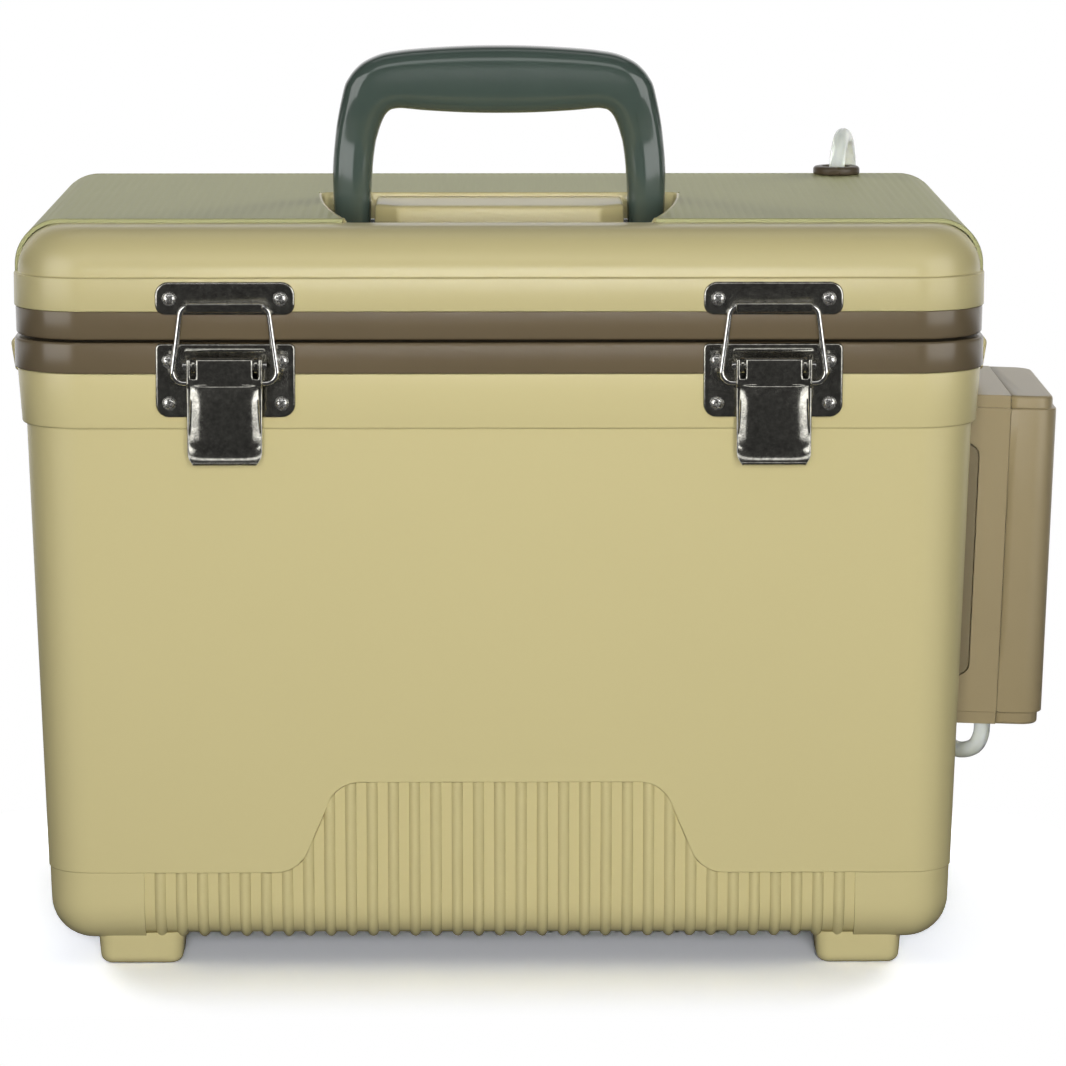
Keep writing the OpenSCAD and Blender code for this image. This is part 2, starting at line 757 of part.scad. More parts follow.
ear_x = 11.5;
ear_t = 1.5;
ear_r = 3.6;

// The tub's plate, with two ears that carry the lever's pin
module latch_base() {
    difference() {
        union() {
            front_plate(base_h, seam_z - base_h, 0);
            for (s = [-1, 1])
                translate([s*ear_x, 0, 0]) {
                    translate([0, -box_d/2 - lever_out, lever_z]) rod_x(ear_r, ear_t);
                    front_profile(ear_t)
                        polygon([[plate_t - tiny, lever_z - ear_r], [lever_out, lever_z - ear_r],
                            [lever_out, lever_z + ear_r], [plate_t - tiny, lever_z + ear_r]]);
                }
        }
        translate([0, -box_d/2 - lever_out, lever_z]) rod_x(lever_pin_r, plate_w);
        for (sx = [-1, 1], z = latch_screw_z)
            translate([sx*latch_screw_x, -box_d/2, z]) rod_y(screw_shank_r, 4*plate_t);
    }
}

module latch_base_left() { color("#4a4a48") at_latch(-1) latch_base(); }
module latch_base_right() { color("#4a4a48") at_latch(1) latch_base(); }

// A cross-headed screw, its head on the plate and its shank in the moulding
module plate_screw() {
    rotate([-90, 0, 0]) {
        translate([0, 0, -plate_t]) cylinder(r = screw_shank_r, h = plate_t + screw_shank_l, $fn = small_fn);
        translate([0, 0, -plate_t - 1.4]) difference() {
            cylinder(r1 = screw_head_r - 0.9, r2 = screw_head_r, h = 1.4, $fn = small_fn);
            cube([2.6, 0.7, 1.4], center = true);
            cube([0.7, 2.6, 1.4], center = true);
        }
    }
}

module latch_base_screws() {
    color("silver")
        for (side = [-1, 1], sx = [-1, 1], z = latch_screw_z)
            translate([side*latch_x + sx*latch_screw_x, -box_d/2, z]) plate_screw();
}

module latch_pins() {
    color("silver")
        for (side = [-1, 1])
            at_latch(side) translate([0, -box_d/2 - lever_out, lever_z]) rod_x(lever_pin_r, lever_w + 2.8);
}

// The bail's bar rests behind the strike's turned-up lip, above its shelf
bar_in = 0.8;
bar_out = lever_out - bar_in;
bar_z = bail_z + sqrt(bail_l*bail_l - bar_in*bar_in);
hook_w = 28;

module strike() {
    shelf = bar_z - wire_r - gap;
    lip = bar_out + 0.9;
    difference() {
        union() {
            front_plate(strike_h, cover_z - 1.1, 0);
            front_profile(hook_w)
                polygon([[plate_t - tiny, shelf], [lip, shelf], [lip + 2.2, shelf + 2.2],
                    [lip + 2.2 + 0.8*plate_t, shelf + 2.2 - 0.8*plate_t],
                    [lip + 0.5*plate_t, shelf - plate_t], [plate_t - tiny, shelf - plate_t]]);
        }
        for (sx = [-1, 1])
            translate([sx*strike_screw_x, -box_d/2, strike_screw_z]) rod_y(screw_shank_r, 4*plate_t);
    }
}

module strike_left() { color("#4a4a48") at_latch(-1) strike(); }
module strike_right() { color("#4a4a48") at_latch(1) strike(); }

module strike_screws() {
    color("silver")
        for (side = [-1, 1], sx = [-1, 1])
            translate([side*latch_x + sx*strike_screw_x, -box_d/2, strike_screw_z]) plate_screw();
}

// The lever: a channel that hangs on its pin, with a thumb piece that turns out at its foot
module lever() {
    face = lever_out + 3.8;
    inside = face - lever_t;
    top = lever_z + 3.1;
    knee = lever_z - 9;
    foot = lever_z - lever_l;
    slot_w = ear_t + 0.8;
    slot_h = ear_r + lever_pin_r + 3.1;
    difference() {
        union() {
            // front of the hinge end
            front_profile(lever_w)
                polygon([[inside, knee], [face, knee], [face, top - 0.8], [face - 0.8, top], [inside, top]]);
            // thumb piece
            front_profile(thumb_w)
                polygon([[inside, knee + 0.5], [face, knee + 0.5], [face, foot + 8], [face + 1.6, foot + 2],
                    [face + 3, foot], [face + 2.2, foot - 0.6], [face + 0.3, foot + 1.4],
                    [inside, foot + 8]]);
            for (s = [-1, 1])
                translate([s*(lever_w - lever_t)/2, 0, 0]) front_profile(lever_t)
                    polygon(concat(
                        [[face, lever_z + 3.1 - 0.8], [face - 0.8, lever_z + 3.1]],
                        arc([lever_out, lever_z], 3.6, 95, 180, 5),
                        [[lever_out - 3.6, knee + 1], [lever_out - 1.5, knee - 3], [face, knee - 5]]));
        }
        translate([0, -box_d/2 - lever_out, lever_z]) rod_x(lever_pin_r + running, 2*lever_w);
        translate([0, -box_d/2 - lever_out, bail_z]) rod_x(wire_r + running, 2*lever_w);
        for (s = [-1, 1])
            translate([s*ear_x - slot_w/2, -box_d/2 - face - 1, lever_z - 4.5]) cube([slot_w, lever_t + 2, slot_h]);
    }
}

module lever_left() { color("#6c6c69") at_latch(-1) lever(); }
module lever_right() { color("#6c6c69") at_latch(1) lever(); }

bail_corner_r = 4;

// The bail: a wire loop that narrows towards its bar, with its ends turned in through the
// lever's sides
module bail() {
    r = bail_corner_r;
    lean = atan2((bail_w - bail_top_w)/2, bail_l);
    foot = [bail_w/2 - r*tan(45 + lean/2), r];
    top = [bail_top_w/2 - r*tan(45 - lean/2), bail_l - r];
    half = concat([[lever_w/2 - lever_t - gap, 0]], arc(foot, r, -90, lean, 5), arc(top, r, lean, 90, 5));
    loop = concat(half, [for (i = [len(half) - 1:-1:0]) [-half[i].x, half[i].y]]);
    tilt = asin(bar_in/bail_l);
    translate([0, -box_d/2 - lever_out, bail_z]) rotate([-tilt, 0, 0])
        tube([for (p = loop) [p.x, 0, p.y]], [1, 0, 0], [1, 0, 0], wire_r);
}

module bail_left() { color("#c8c8c4") at_latch(-1) bail(); }
module bail_right() { color("#c8c8c4") at_latch(1) bail(); }

// ---------------------------------------------------------------- pump

// The pump's own frame: X leaves the box's wall, Z runs up along it
pump_x = box_w/2 + wall_out(pump_z);
module on_pump() {
    translate([pump_x, 0, pump_z]) rotate([0, wall_draft, 0]) children();
}

case_top = pump_h/2;
case_in = gap;
rail_y = pump_w/2 - 5.8;
bracket_screw_y = 26;
bracket_screw_z = -26;
bracket_plate_top = -6;

// Plan of the case, made smaller by inset at the front and the sides and starting at back
module case_plan(inset, back) {
    r = case_r - inset;
    half = pump_w/2 - inset;
    polygon(concat([[back, -half]], arc([pump_t - inset - r, -half + r], r, -90, 0, 6),
        arc([pump_t - inset - r, half - r], r, 0, 90, 6), [[back, half]]));
}

// The case, or with a wall the space inside it
module case_solid(wall) {
    translate([0, 0, -case_top + wall]) linear_extrude(2*(case_top - wall))
        case_plan(cap_inset + wall, case_in + wall);
    translate([0, 0, -case_top + cap_h + wall]) linear_extrude(2*(case_top - cap_h - wall))
        case_plan(wall, case_in + wall);
}

// The rails' outline seen from the front, grown by grow
module rail_outline(grow) {
    r = 4.5;
    polygon(concat([[-1, -rail_h/2 - grow]],
        arc([rail_out - r + grow, -rail_h/2 + r - grow], r, -90, 0, 5),
        arc([rail_out - r + grow, rail_h/2 - r + grow], r, 0, 90, 5), [[-1, rail_h/2 + grow]]));
}

// The places the bracket takes up in the case, grown by grow
module bracket_space(grow) {
    for (s = [-1, 1])
        translate([0, s*(rail_y + pump_w/2)/2, 0]) rotate([90, 0, 0])
            translate([0, 0, -(pump_w/2 - rail_y)/2 - grow]) linear_extrude(pump_w/2 - rail_y + 2*grow) rail_outline(grow);
    translate([-1, -rail_y - 1, -rail_h/2 - grow])
        cube([bracket_t + 1 + grow, 2*rail_y + 2, bracket_plate_top + rail_h/2 + 2*grow]);
}

// The place of the tub's collar, which stands out over the wall beside the top of the case
module collar_space(grow) {
    top = pump_z + case_top;
    proud = collar_out(top) - wall_out(top) + gap + grow;
    translate([-1, -pump_w, collar_z - pump_z - gap - grow]) cube([1 + proud, 2*pump_w, pump_h]);
}

module bracket_screw_holes() {
    for (s = [-1, 1])
        translate([-2.8, s*bracket_screw_y, bracket_screw_z]) rotate([0, 90, 0])
            cylinder(r = screw_shank_r, h = 6, $fn = small_fn);
}

module pump_bracket() {
    color("#3f3627") on_pump() difference() {
        union() {
            for (s = [-1, 1])
                translate([0, s*(rail_y + pump_w/2 - 0.3)/2, 0]) rotate([90, 0, 0])
                    translate([0, 0, -(pump_w/2 - 0.3 - rail_y)/2]) linear_extrude(pump_w/2 - 0.3 - rail_y)
                        intersection() {
                            rail_outline(0);
                            translate([0, -rail_h]) square([2*rail_out, 2*rail_h]);
                        }
            translate([0, -rail_y - 1, -rail_h/2]) cube([bracket_t, 2*rail_y + 2, bracket_plate_top + rail_h/2]);
        }
        for (s = [-1, 1])
            translate([0, s*bracket_screw_y, bracket_screw_z]) rotate([0, 90, 0]) {
                translate([0, 0, -1]) cylinder(r = screw_shank_r, h = 6, $fn = small_fn);
                translate([0, 0, bracket_t - 1.8]) cylinder(r1 = screw_shank_r, r2 = screw_shank_r + 1.9, h = 1.9, $fn = small_fn);
            }
    }
}

module bracket_screws() {
    color("silver") on_pump()
        for (s = [-1, 1])
            translate([0, s*bracket_screw_y, bracket_screw_z]) rotate([0, 90, 0]) {
                translate([0, 0, -2.7]) cylinder(r = screw_shank_r, h = bracket_t + 1, $fn = small_fn);
                translate([0, 0, bracket_t - 1.8]) cylinder(r1 = screw_shank_r, r2 = screw_shank_r + 1.8, h = 1.8, $fn = small_fn);
            }
}

// Middle of the pump's moving gear, in the pump's frame
head_x = 17.3;
head_y = -22;
head_r = 14;
head_h = 15;
motor_z = -26;
motor_y = head_y + 8;
deck_z = -7;
nipple_r = 2.2;
outlet_l = 2;
inner_low = -case_top + case_t;
spring_h = 6;
cell_tip = 1.5;
cell_x = pump_t - cap_inset - case_t - gap - cell_r;

// The inner half of the case holds the cells, the motor and the pump head
module pump_case() {
    color("#87785a") on_pump() difference() {
        union() {
            difference() {
                intersection() {
                    case_solid(0);
                    translate([0, -pump_w, -pump_h]) cube([pump_seam - 0.1, 2*pump_w, 2*pump_h]);
                }
                difference() {
                    case_solid(case_t);
                    bracket_space(case_t + gap);
                    collar_space(case_t/2);
                }
            }
            // deck under the cells
            intersection() {
                case_solid(case_t/2);
                translate([0, -pump_w, deck_z - 1.5]) cube([pump_seam - 1, 2*pump_w, 1.5]);
            }
            // cradle under the motor
            for (y = [motor_y + 3, motor_y + motor_l - 6])
                translate([bracket_t + gap, y, motor_z - motor_r/2]) cube([head_x - motor_r*0.6, 3, motor_r]);
        }
        bracket_space(gap);
        collar_space(0);
        translate([head_x, motor_y + motor_l/2, motor_z]) rod_y(motor_r + gap, motor_l + 2*gap);
        translate([head_x, head_y, -case_top - 1]) cylinder(r = nipple_r + gap, h = case_t + 2, $fn = small_fn);
    }
}

module battery_cells() {
    color("#8a8d90") on_pump()
        for (s = [-1, 1])
            translate([cell_x, s*(cell_r + 0.2), deck_z + spring_h]) {
                cylinder(r = cell_r, h = cell_l - cell_tip, $fn = round_fn);
                translate([0, 0, cell_l - cell_tip - tiny]) cylinder(r = 4.7, h = cell_tip + tiny, $fn = small_fn);
            }
}

module battery_contacts() {
    color("silver") on_pump() {
        // strip that joins the two cells at their tops
        translate([cell_x - 5, -cell_r - 8, deck_z + spring_h + cell_l]) cube([10, 2*cell_r + 16, 0.6]);
        // conical springs between the deck and the cells
        for (s = [-1, 1])
            translate([cell_x - 4, s*(cell_r + 0.2), deck_z]) cylinder(r1 = 5.2, r2 = 4, h = spring_h, $fn = small_fn);
    }
}

module pump_motor() {
    color("#9a9a96") on_pump() {
        translate([head_x, motor_y + motor_l/2, motor_z]) rod_y(motor_r, motor_l);
        translate([head_x, motor_y - 0.75, motor_z]) rod_y(3, 1.5 + tiny);
    }
}

module pump_crank() {
    y = motor_y - 1.5 - gap;
    color("#c9b98a") on_pump() translate([head_x, 0, motor_z]) {
        translate([0, y - 1.5, 0]) rod_y(6.5, 3);
        translate([0, y - 5, crank_throw]) rod_y(1.4, 4.4);
    }
}

arm_y = head_y;
module diaphragm_arm() {
    low = inner_low + head_h + 2.3;
    color("#d8d2c0") on_pump() difference() {
        translate([head_x, arm_y, 0]) {
            translate([0, 0, motor_z]) rod_y(6.2, 2.6);
            translate([-3, -1.3, low]) cube([6, 2.6, motor_z - 4 - low]);
        }
        translate([head_x, arm_y, motor_z]) rod_y(1.4 + crank_throw + gap, 6);
    }
}

module pump_diaphragm() {
    color("#2b2b2b") on_pump() translate([head_x, head_y, inner_low + head_h]) {
        cylinder(r = head_r - 2, h = 1.2, $fn = round_fn);
        cylinder(r = 4, h = 2.3, $fn = small_fn);
    }
}

module pump_head() {
    color("#d8d2c0") on_pump() translate([head_x, head_y, 0]) {
        translate([0, 0, inner_low]) cylinder(r = head_r, h = head_h, $fn = round_fn);
        translate([0, 0, -case_top - outlet_l]) cylinder(r = nipple_r, h = outlet_l + case_t + tiny, $fn = small_fn);
    }
}

switch_z = -20;
switch_w = 14;
switch_h = 8;
switch_body_t = 6;

// The outer half of the case pulls off to reach the cells
module pump_cover() {
    color("#8c7d5e") on_pump() difference() {
        intersection() {
            case_solid(0);
            translate([pump_seam + 0.1, -pump_w, -pump_h]) cube([pump_t, 2*pump_w, 2*pump_h]);
        }
        case_solid(case_t);
        translate([pump_t, 0, switch_z]) cube([10, switch_h, switch_w], center = true);
    }
}

module switch_body() {
    color("#2e2a24") on_pump()
        translate([pump_t - case_t - 0.2 - switch_body_t, -switch_w/2, switch_z - switch_w])
            cube([switch_body_t, switch_w, 2*switch_w]);
}

module switch_knob() {
    color("#1f1d1a") on_pump()
        translate([pump_t - case_t + 0.1, -(switch_h/2 - gap), switch_z - switch_w/2 + gap])
            difference() {
                cube([case_t + 1.9, switch_h - 2*gap, switch_w - 2*gap - switch_travel]);
                for (k = [1, 2, 3])
                    translate([case_t + 1.5, -1, k*(switch_w - switch_travel)/4 - 0.7]) cube([1, switch_h + 2, 0.8]);
            }
}

// ---------------------------------------------------------------- air tube

// A point of the pump's frame in the box's frame
function pump_point(p) = [pump_x + p.x*cos(wall_draft) + p.z*sin(wall_draft), p.y,
    pump_z - p.x*sin(wall_draft) + p.z*cos(wall_draft)];
pump_down = [-sin(wall_draft), 0, -cos(wall_draft)];

// From the pump's outlet, under the pump, up behind it and round the box's rear corner
lower_route = [[189.5, -22, 72.5], [187.2, -19.5, 67], [182.6, -12, 64], [179, 0, 63.5],
    [177, 16, 64.5], [176.5, 32, 66.5], [176.5, 46, 70], [177, 57, 78], [178, 62, 90],
    [178.5, 66, 105], [179, 72, 120], [179.5, 81, 134], [180, 94, 147], [178.5, 109, 160],
    [169.5, 121.5, 172], [158.5, 128.5, 184], [150, 131, 197], [146.5, 131.6, 211], [145.5, 131.6, 226]];

// From the hinge's axis over the lid's rear edge into the grommet
upper_route = [[145.5, 131.6, 254], [145.5, 131.6, 266], [145.5, 131.6, 278], [145, 129, 287.5],
    [143.6, 122, 294.5], [141.8, 113, 297], [140, 103.5, 294.5], [138.5, 96.5, 287.5],
    [138, 94, 278]];

// From the grommet down the cavity's rear corner to the air stone on its floor
inner_route = [[138, 94, 254], [138, 94, 241], [138, 94, 228], [137.6, 93.2, 214], [137, 92, 199], [136.6, 91.2, 182],
    [136.2, 90.5, 158], [135.8, 89.7, 134], [135.3, 88.8, 110], [134.6, 87.6, 86], [133.4, 86.2, 66],
    [130.5, 84.8, 52], [124, 83.6, 42], [115, 82.8, 37.5]];

tube_cross = [145.5, hinge_y, hinge_z];
tube_split = [grommet_x, grommet_y, base_top_z - shell_t - 10];
stone_end = [104, cavity_d/2 - 21.5, cavity_z + stone_r + gap];

module air_tube_lower() {
    start = pump_point([head_x, head_y, -case_top - outlet_l]);
    color("#dfe3dc") tube(concat([start], lower_route, [tube_cross]), pump_down, [0, 0, 1]);
}

module air_tube_upper() {
    color("#dfe3dc") tube(concat([tube_cross], upper_route, [tube_split]), [0, 0, 1], [0, 0, -1]);
}

module air_tube_inner() {
    color("#dfe3dc") tube(concat([tube_split], inner_route, [stone_end]), [0, 0, -1], [-1, 0, 0]);
}

module air_stone() {
    color("#8f98a3") translate(stone_end) rotate([0, -90, 0]) {
        cylinder(r = tube_d/2, h = 4, $fn = small_fn);
        translate([0, 0, 3]) cylinder(r = stone_r, h = stone_l, $fn = round_fn);
    }
}

tub_shell();
tub_foam();
tub_liner();
hinge_rods();
latch_base_left();
latch_base_right();
latch_base_screws();
latch_pins();
pump_bracket();
bracket_screws();
pump_case();
battery_cells();
battery_contacts();
pump_motor();
pump_head();
pump_diaphragm();
diaphragm_arm();
air_tube_lower();
air_tube_inner();
air_stone();
lid_cover();
lid_foam();
lid_liner();
lid_seal();
strike_left();
strike_right();
strike_screws();
handle_pins();
tube_grommet();
air_tube_upper();
handle();
lever_left();
lever_right();
bail_left();
bail_right();
pump_cover();
switch_body();
switch_knob();
pump_crank();
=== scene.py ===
"""Dresses the aerated bait bucket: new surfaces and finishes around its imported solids.

Shapes are worked out in millimetres in the bucket's own frame, +Z up and -Y to the front,
and written to the meshes in metres.
"""

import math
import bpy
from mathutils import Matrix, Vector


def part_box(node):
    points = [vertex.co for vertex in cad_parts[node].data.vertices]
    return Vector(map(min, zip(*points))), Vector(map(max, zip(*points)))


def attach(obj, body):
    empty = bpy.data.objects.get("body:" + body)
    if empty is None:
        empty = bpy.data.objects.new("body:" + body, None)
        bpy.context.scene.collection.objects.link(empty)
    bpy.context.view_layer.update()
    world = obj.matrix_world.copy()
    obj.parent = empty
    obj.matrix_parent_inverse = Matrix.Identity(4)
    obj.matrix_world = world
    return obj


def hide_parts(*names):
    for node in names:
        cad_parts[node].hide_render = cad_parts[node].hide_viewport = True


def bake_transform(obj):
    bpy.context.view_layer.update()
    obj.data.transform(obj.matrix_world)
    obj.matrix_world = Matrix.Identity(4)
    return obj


bl_info = {
    "name": "Aerated bait bucket",
    "version": (1, 0, 0),
    "blender": (4, 5, 0),
    "location": "3D View > Sidebar > Bait bucket",
    "description": "Builds the visible surfaces and finishes of a live-bait bucket with an air pump",
    "category": "Object",
}

import bmesh
import bpy
import numpy as np
from bpy.props import FloatProperty, FloatVectorProperty, IntProperty, PointerProperty

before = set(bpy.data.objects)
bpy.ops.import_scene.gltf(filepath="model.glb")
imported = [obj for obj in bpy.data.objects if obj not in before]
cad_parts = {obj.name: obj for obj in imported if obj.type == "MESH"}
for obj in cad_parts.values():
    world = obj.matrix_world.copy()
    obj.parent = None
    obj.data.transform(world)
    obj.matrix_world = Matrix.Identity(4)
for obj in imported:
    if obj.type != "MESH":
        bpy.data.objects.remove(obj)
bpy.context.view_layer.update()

MM = 0.001

# The stage, in metres and degrees: camera, floor, and half the object's footprint
CAMERA_AT, CAMERA_DOWN, CAMERA_TURN = (0, -2.019, 0.466), 8.923, -0.3755
FLOOR_HALF, FOOT_HALF = 30.0, (0.165, 0.11, 0)
PAPER_TINT = (0.96, 0.98, 1.04)


def node_box(node):
    """Lowest and highest corner of a solid of the frame, in millimetres."""
    low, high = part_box(node)
    return np.array(low) / MM, np.array(high) / MM


# ---------------------------------------------------------------- sizes shared with the frame

COVER_LOW, COVER_HIGH = node_box("lid_cover")
BOX_W = COVER_HIGH[0] - COVER_LOW[0]
BOX_D = COVER_HIGH[1] - COVER_LOW[1]
LID_TOP = COVER_HIGH[2]
COVER_Z = COVER_LOW[2]
CORNER_R = 28.0
SHELL_T = 3.0
WALL_DRAFT = math.radians(2.0)

FOOT_H = 9.5
FLOOR_R = 16.0
LID_Z = 240.6
SEAM_Z = 239.7
BAND_Z = 228.0
COLLAR_Z = 207.4
ZONE_Z = 38.0
WALL_INSET = 4.1
COLLAR_LOW, COLLAR_TOP = 2.5, 1.0
BAY_RISE, BAY_TOP_W, BAY_FOOT_W, BAY_R = 35.0, 118.0, 156.0, 13.0
RIB_COUNT = 33
# Columns across a rib, as shares of its half width, and rows about the zone's edge
RIB_SHARES = np.array([1.06, 1.0, 0.985, 0.94, 0.86, 0.74, 0.58, 0.4, 0.2, 0.0])
BELOW_EDGE = np.array([7.0, 4.0, 2.4, 1.7, 1.3, 1.05, 0.85, 0.65, 0.45, 0.22, 0.0])
ABOVE_EDGE = np.array([0.25, 0.5, 1.2])
END_COLUMNS = 9
FEET_X, FEET_Y, FEET_W, FEET_D, FEET_R = 136, 92, 33, 28, 6

CAVITY_W, CAVITY_D, CAVITY_R, CAVITY_Z = 304.0, 208.0, 18.0, 27.7
CAVITY_DRAFT = math.radians(2.4)
LINER_T = 2.5
PLUG_CLEAR, PLUG_H = 2.2, 8.0

LID_EDGE_R = 17.0
STRIP_H = 12.3
PANEL_RISE = 1.5
PANEL_EDGE = 28.0
WELL_Z = 260.5
WELL_REAR = 11.0
ISLAND_W, ISLAND_FRONT, ISLAND_BEVEL = 96.8, 31.5, 9.0

HINGE_X, HINGE_Y, HINGE_Z = 95.0, 131.6, 240.15
KNUCKLE_R, ROD_R = 5.0, 2.0

HANDLE_Y, PIVOT_Z = -8.0, 272.0

LATCH_X = 101.0
LEVER_OUT, LEVER_Z, BAIL_Z = 5.2, 231.9, 225.5
BAR_IN, BAIL_L, BAIL_W, BAIL_TOP_W, WIRE_R = 0.8, 28.5, 39.4, 31.8, 1.02
PLATE_W, PLATE_T = 51.6, 1.2
BASE_H, BASE_SCREW_X, BASE_SCREWS = 27.6, 20.7, (6.6, 22.3)
STRIKE_H, STRIKE_SCREW_X = 12.3, 20.4
EAR_X, EYE_R, LEVER_HALF, LEVER_DROP = 11.5, 3.1, 14.0, 36
CROSS_DEPTH = 1.5
# A screw head's [radius, height]: the dome, a groove round it and its flange
SCREW_PROFILE = np.array([
    [0.0, 1.5], [0.35, 1.49], [0.7, 1.46], [1.0, 1.41], [1.25, 1.35], [1.45, 1.28], [1.7, 1.14],
    [1.9, 0.96], [2.02, 0.72], [2.08, 0.3], [2.2, 0.08], [2.34, 0.32], [2.55, 0.33], [2.64, 0.2],
    [2.66, -0.1]])

PUMP_Z = 146.0
PUMP_X = BOX_W / 2 - WALL_INSET - math.tan(WALL_DRAFT) * (COLLAR_Z - PUMP_Z)
PUMP_H, PUMP_W, PUMP_T, PUMP_SEAM = 128.7, 96.0, 38.4, 20.2
CASE_T, CASE_R, CAP_INSET, CAP_H = 1.8, 9.0, 1.5, 4.8
SWITCH_Z, SWITCH_W, SWITCH_H = -20.0, 14.0, 8.0

TUBE_D = 6.4
GROMMET_X, GROMMET_Y, GROMMET_R, GROMMET_H = 138.0, 94.0, 9.5, 3.3

# The air tube's routes, the same points as its solids follow
LOWER_ROUTE = [[189.5, -22, 72.5], [187.2, -19.5, 67], [182.6, -12, 64], [179, 0, 63.5],
               [177, 16, 64.5], [176.5, 32, 66.5], [176.5, 46, 70], [177, 57, 78],
               [178, 62, 90], [178.5, 66, 105], [179, 72, 120], [179.5, 81, 134],
               [180, 94, 147], [178.5, 109, 160], [169.5, 121.5, 172], [158.5, 128.5, 184],
               [150, 131, 197], [146.5, 131.6, 211], [145.5, 131.6, 226]]
UPPER_ROUTE = [[145.5, 131.6, 254], [145.5, 131.6, 266], [145.5, 131.6, 278],
               [145, 129, 287.5], [143.6, 122, 294.5], [141.8, 113, 297],
               [140, 103.5, 294.5], [138.5, 96.5, 287.5], [138, 94, 278]]
INNER_ROUTE = [[138, 94, 254], [138, 94, 241], [138, 94, 228], [137.6, 93.2, 214],
               [137, 92, 199], [136.6, 91.2, 182], [136.2, 90.5, 158], [135.8, 89.7, 134],
               [135.3, 88.8, 110], [134.6, 87.6, 86], [133.4, 86.2, 66], [130.5, 84.8, 52],
               [124, 83.6, 42], [115, 82.8, 37.5]]
HINGE_CROSSING = [145.5, HINGE_Y, HINGE_Z]
TUBE_SPLIT = [138, 94, 268.5]
STONE_END = [104, 82.5, 36]
# The outlet in the pump's own frame
TUBE_OUTLET = np.array([17.3, -22.0, -PUMP_H / 2 - 2.0])


# ---------------------------------------------------------------- surfaces


def grid_quads(rows, columns, wrap_rows, wrap_columns):
    """Quads of a grid of points: each joins two neighbouring rows and two columns."""
    r, c = np.meshgrid(np.arange(rows if wrap_rows else rows - 1),
                       np.arange(columns if wrap_columns else columns - 1), indexing="ij")
    r2, c2 = (r + 1) % rows, (c + 1) % columns
    return np.stack([r * columns + c, r * columns + c2,
                     r2 * columns + c2, r2 * columns + c], -1).reshape(-1, 4)


class Skin:
    """Points in millimetres and faces of one piece, gathered from the surfaces it is made of."""

    def __init__(self):
        self.points, self.faces, self.count = [], [], 0

    def grid(self, points, wrap_rows=False, wrap_columns=False, caps=False, keep=None):
        """Adds rows by columns of points. caps closes the first and the last row, and keep
        marks the quads that stay where a hole is left."""
        rows, columns = points.shape[:2]
        quads = grid_quads(rows, columns, wrap_rows, wrap_columns) + self.count
        if keep is not None:
            quads = quads[keep.ravel()]
        self.faces += quads.tolist()
        if caps:
            ring = np.arange(columns) + self.count
            self.faces.append(ring[::-1].tolist())
            self.faces.append((ring + (rows - 1) * columns).tolist())
        self.points.append(points.reshape(-1, 3))
        self.count += rows * columns
        return self

    def body(self, points):
        """Adds a closed body: its columns go round, and both end rows are capped."""
        return self.grid(points, wrap_columns=True, caps=True)

    def piece(self, name, body, slot, nodes=(), material=None, wall=0.0, sharp=35.0, weld=0.002):
        """Makes the object: doubles merged, normals outwards, a wall of its own if asked."""
        mesh = bpy.data.meshes.new(name)
        mesh.from_pydata((np.concatenate(self.points) * MM).tolist(), [], self.faces)
        work = bmesh.new()
        work.from_mesh(mesh)
        bmesh.ops.remove_doubles(work, verts=work.verts, dist=weld * MM)
        bmesh.ops.dissolve_degenerate(work, edges=work.edges, dist=weld * MM * 0.5)
        bmesh.ops.recalc_face_normals(work, faces=work.faces)
        work.to_mesh(mesh)
        work.free()
        mesh.shade_smooth()
        mesh.set_sharp_from_angle(angle=math.radians(sharp))
        piece = bpy.data.objects.new(name, mesh)
        bpy.context.scene.collection.objects.link(piece)
        mesh.materials.append(material)
        if wall:
            solid = piece.modifiers.new("wall", "SOLIDIFY")
            solid.thickness = wall * MM
            solid.offset = -1
        if isinstance(body, str):
            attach(piece, body)
        if nodes:
            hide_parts(*nodes)
        return piece


def arc(centre, radius, start, end, steps):
    """Points of an arc in a plane, from one angle to another, in degrees."""
    a = np.radians(np.linspace(start, end, steps + 1))
    return np.stack([centre[0] + radius * np.cos(a), centre[1] + radius * np.sin(a)], 1)


def smoothstep(t):
    """0 below 0, 1 above 1, and 3 t^2 - 2 t^3 between."""
    t = np.clip(t, 0.0, 1.0)
    return t * t * (3 - 2 * t)


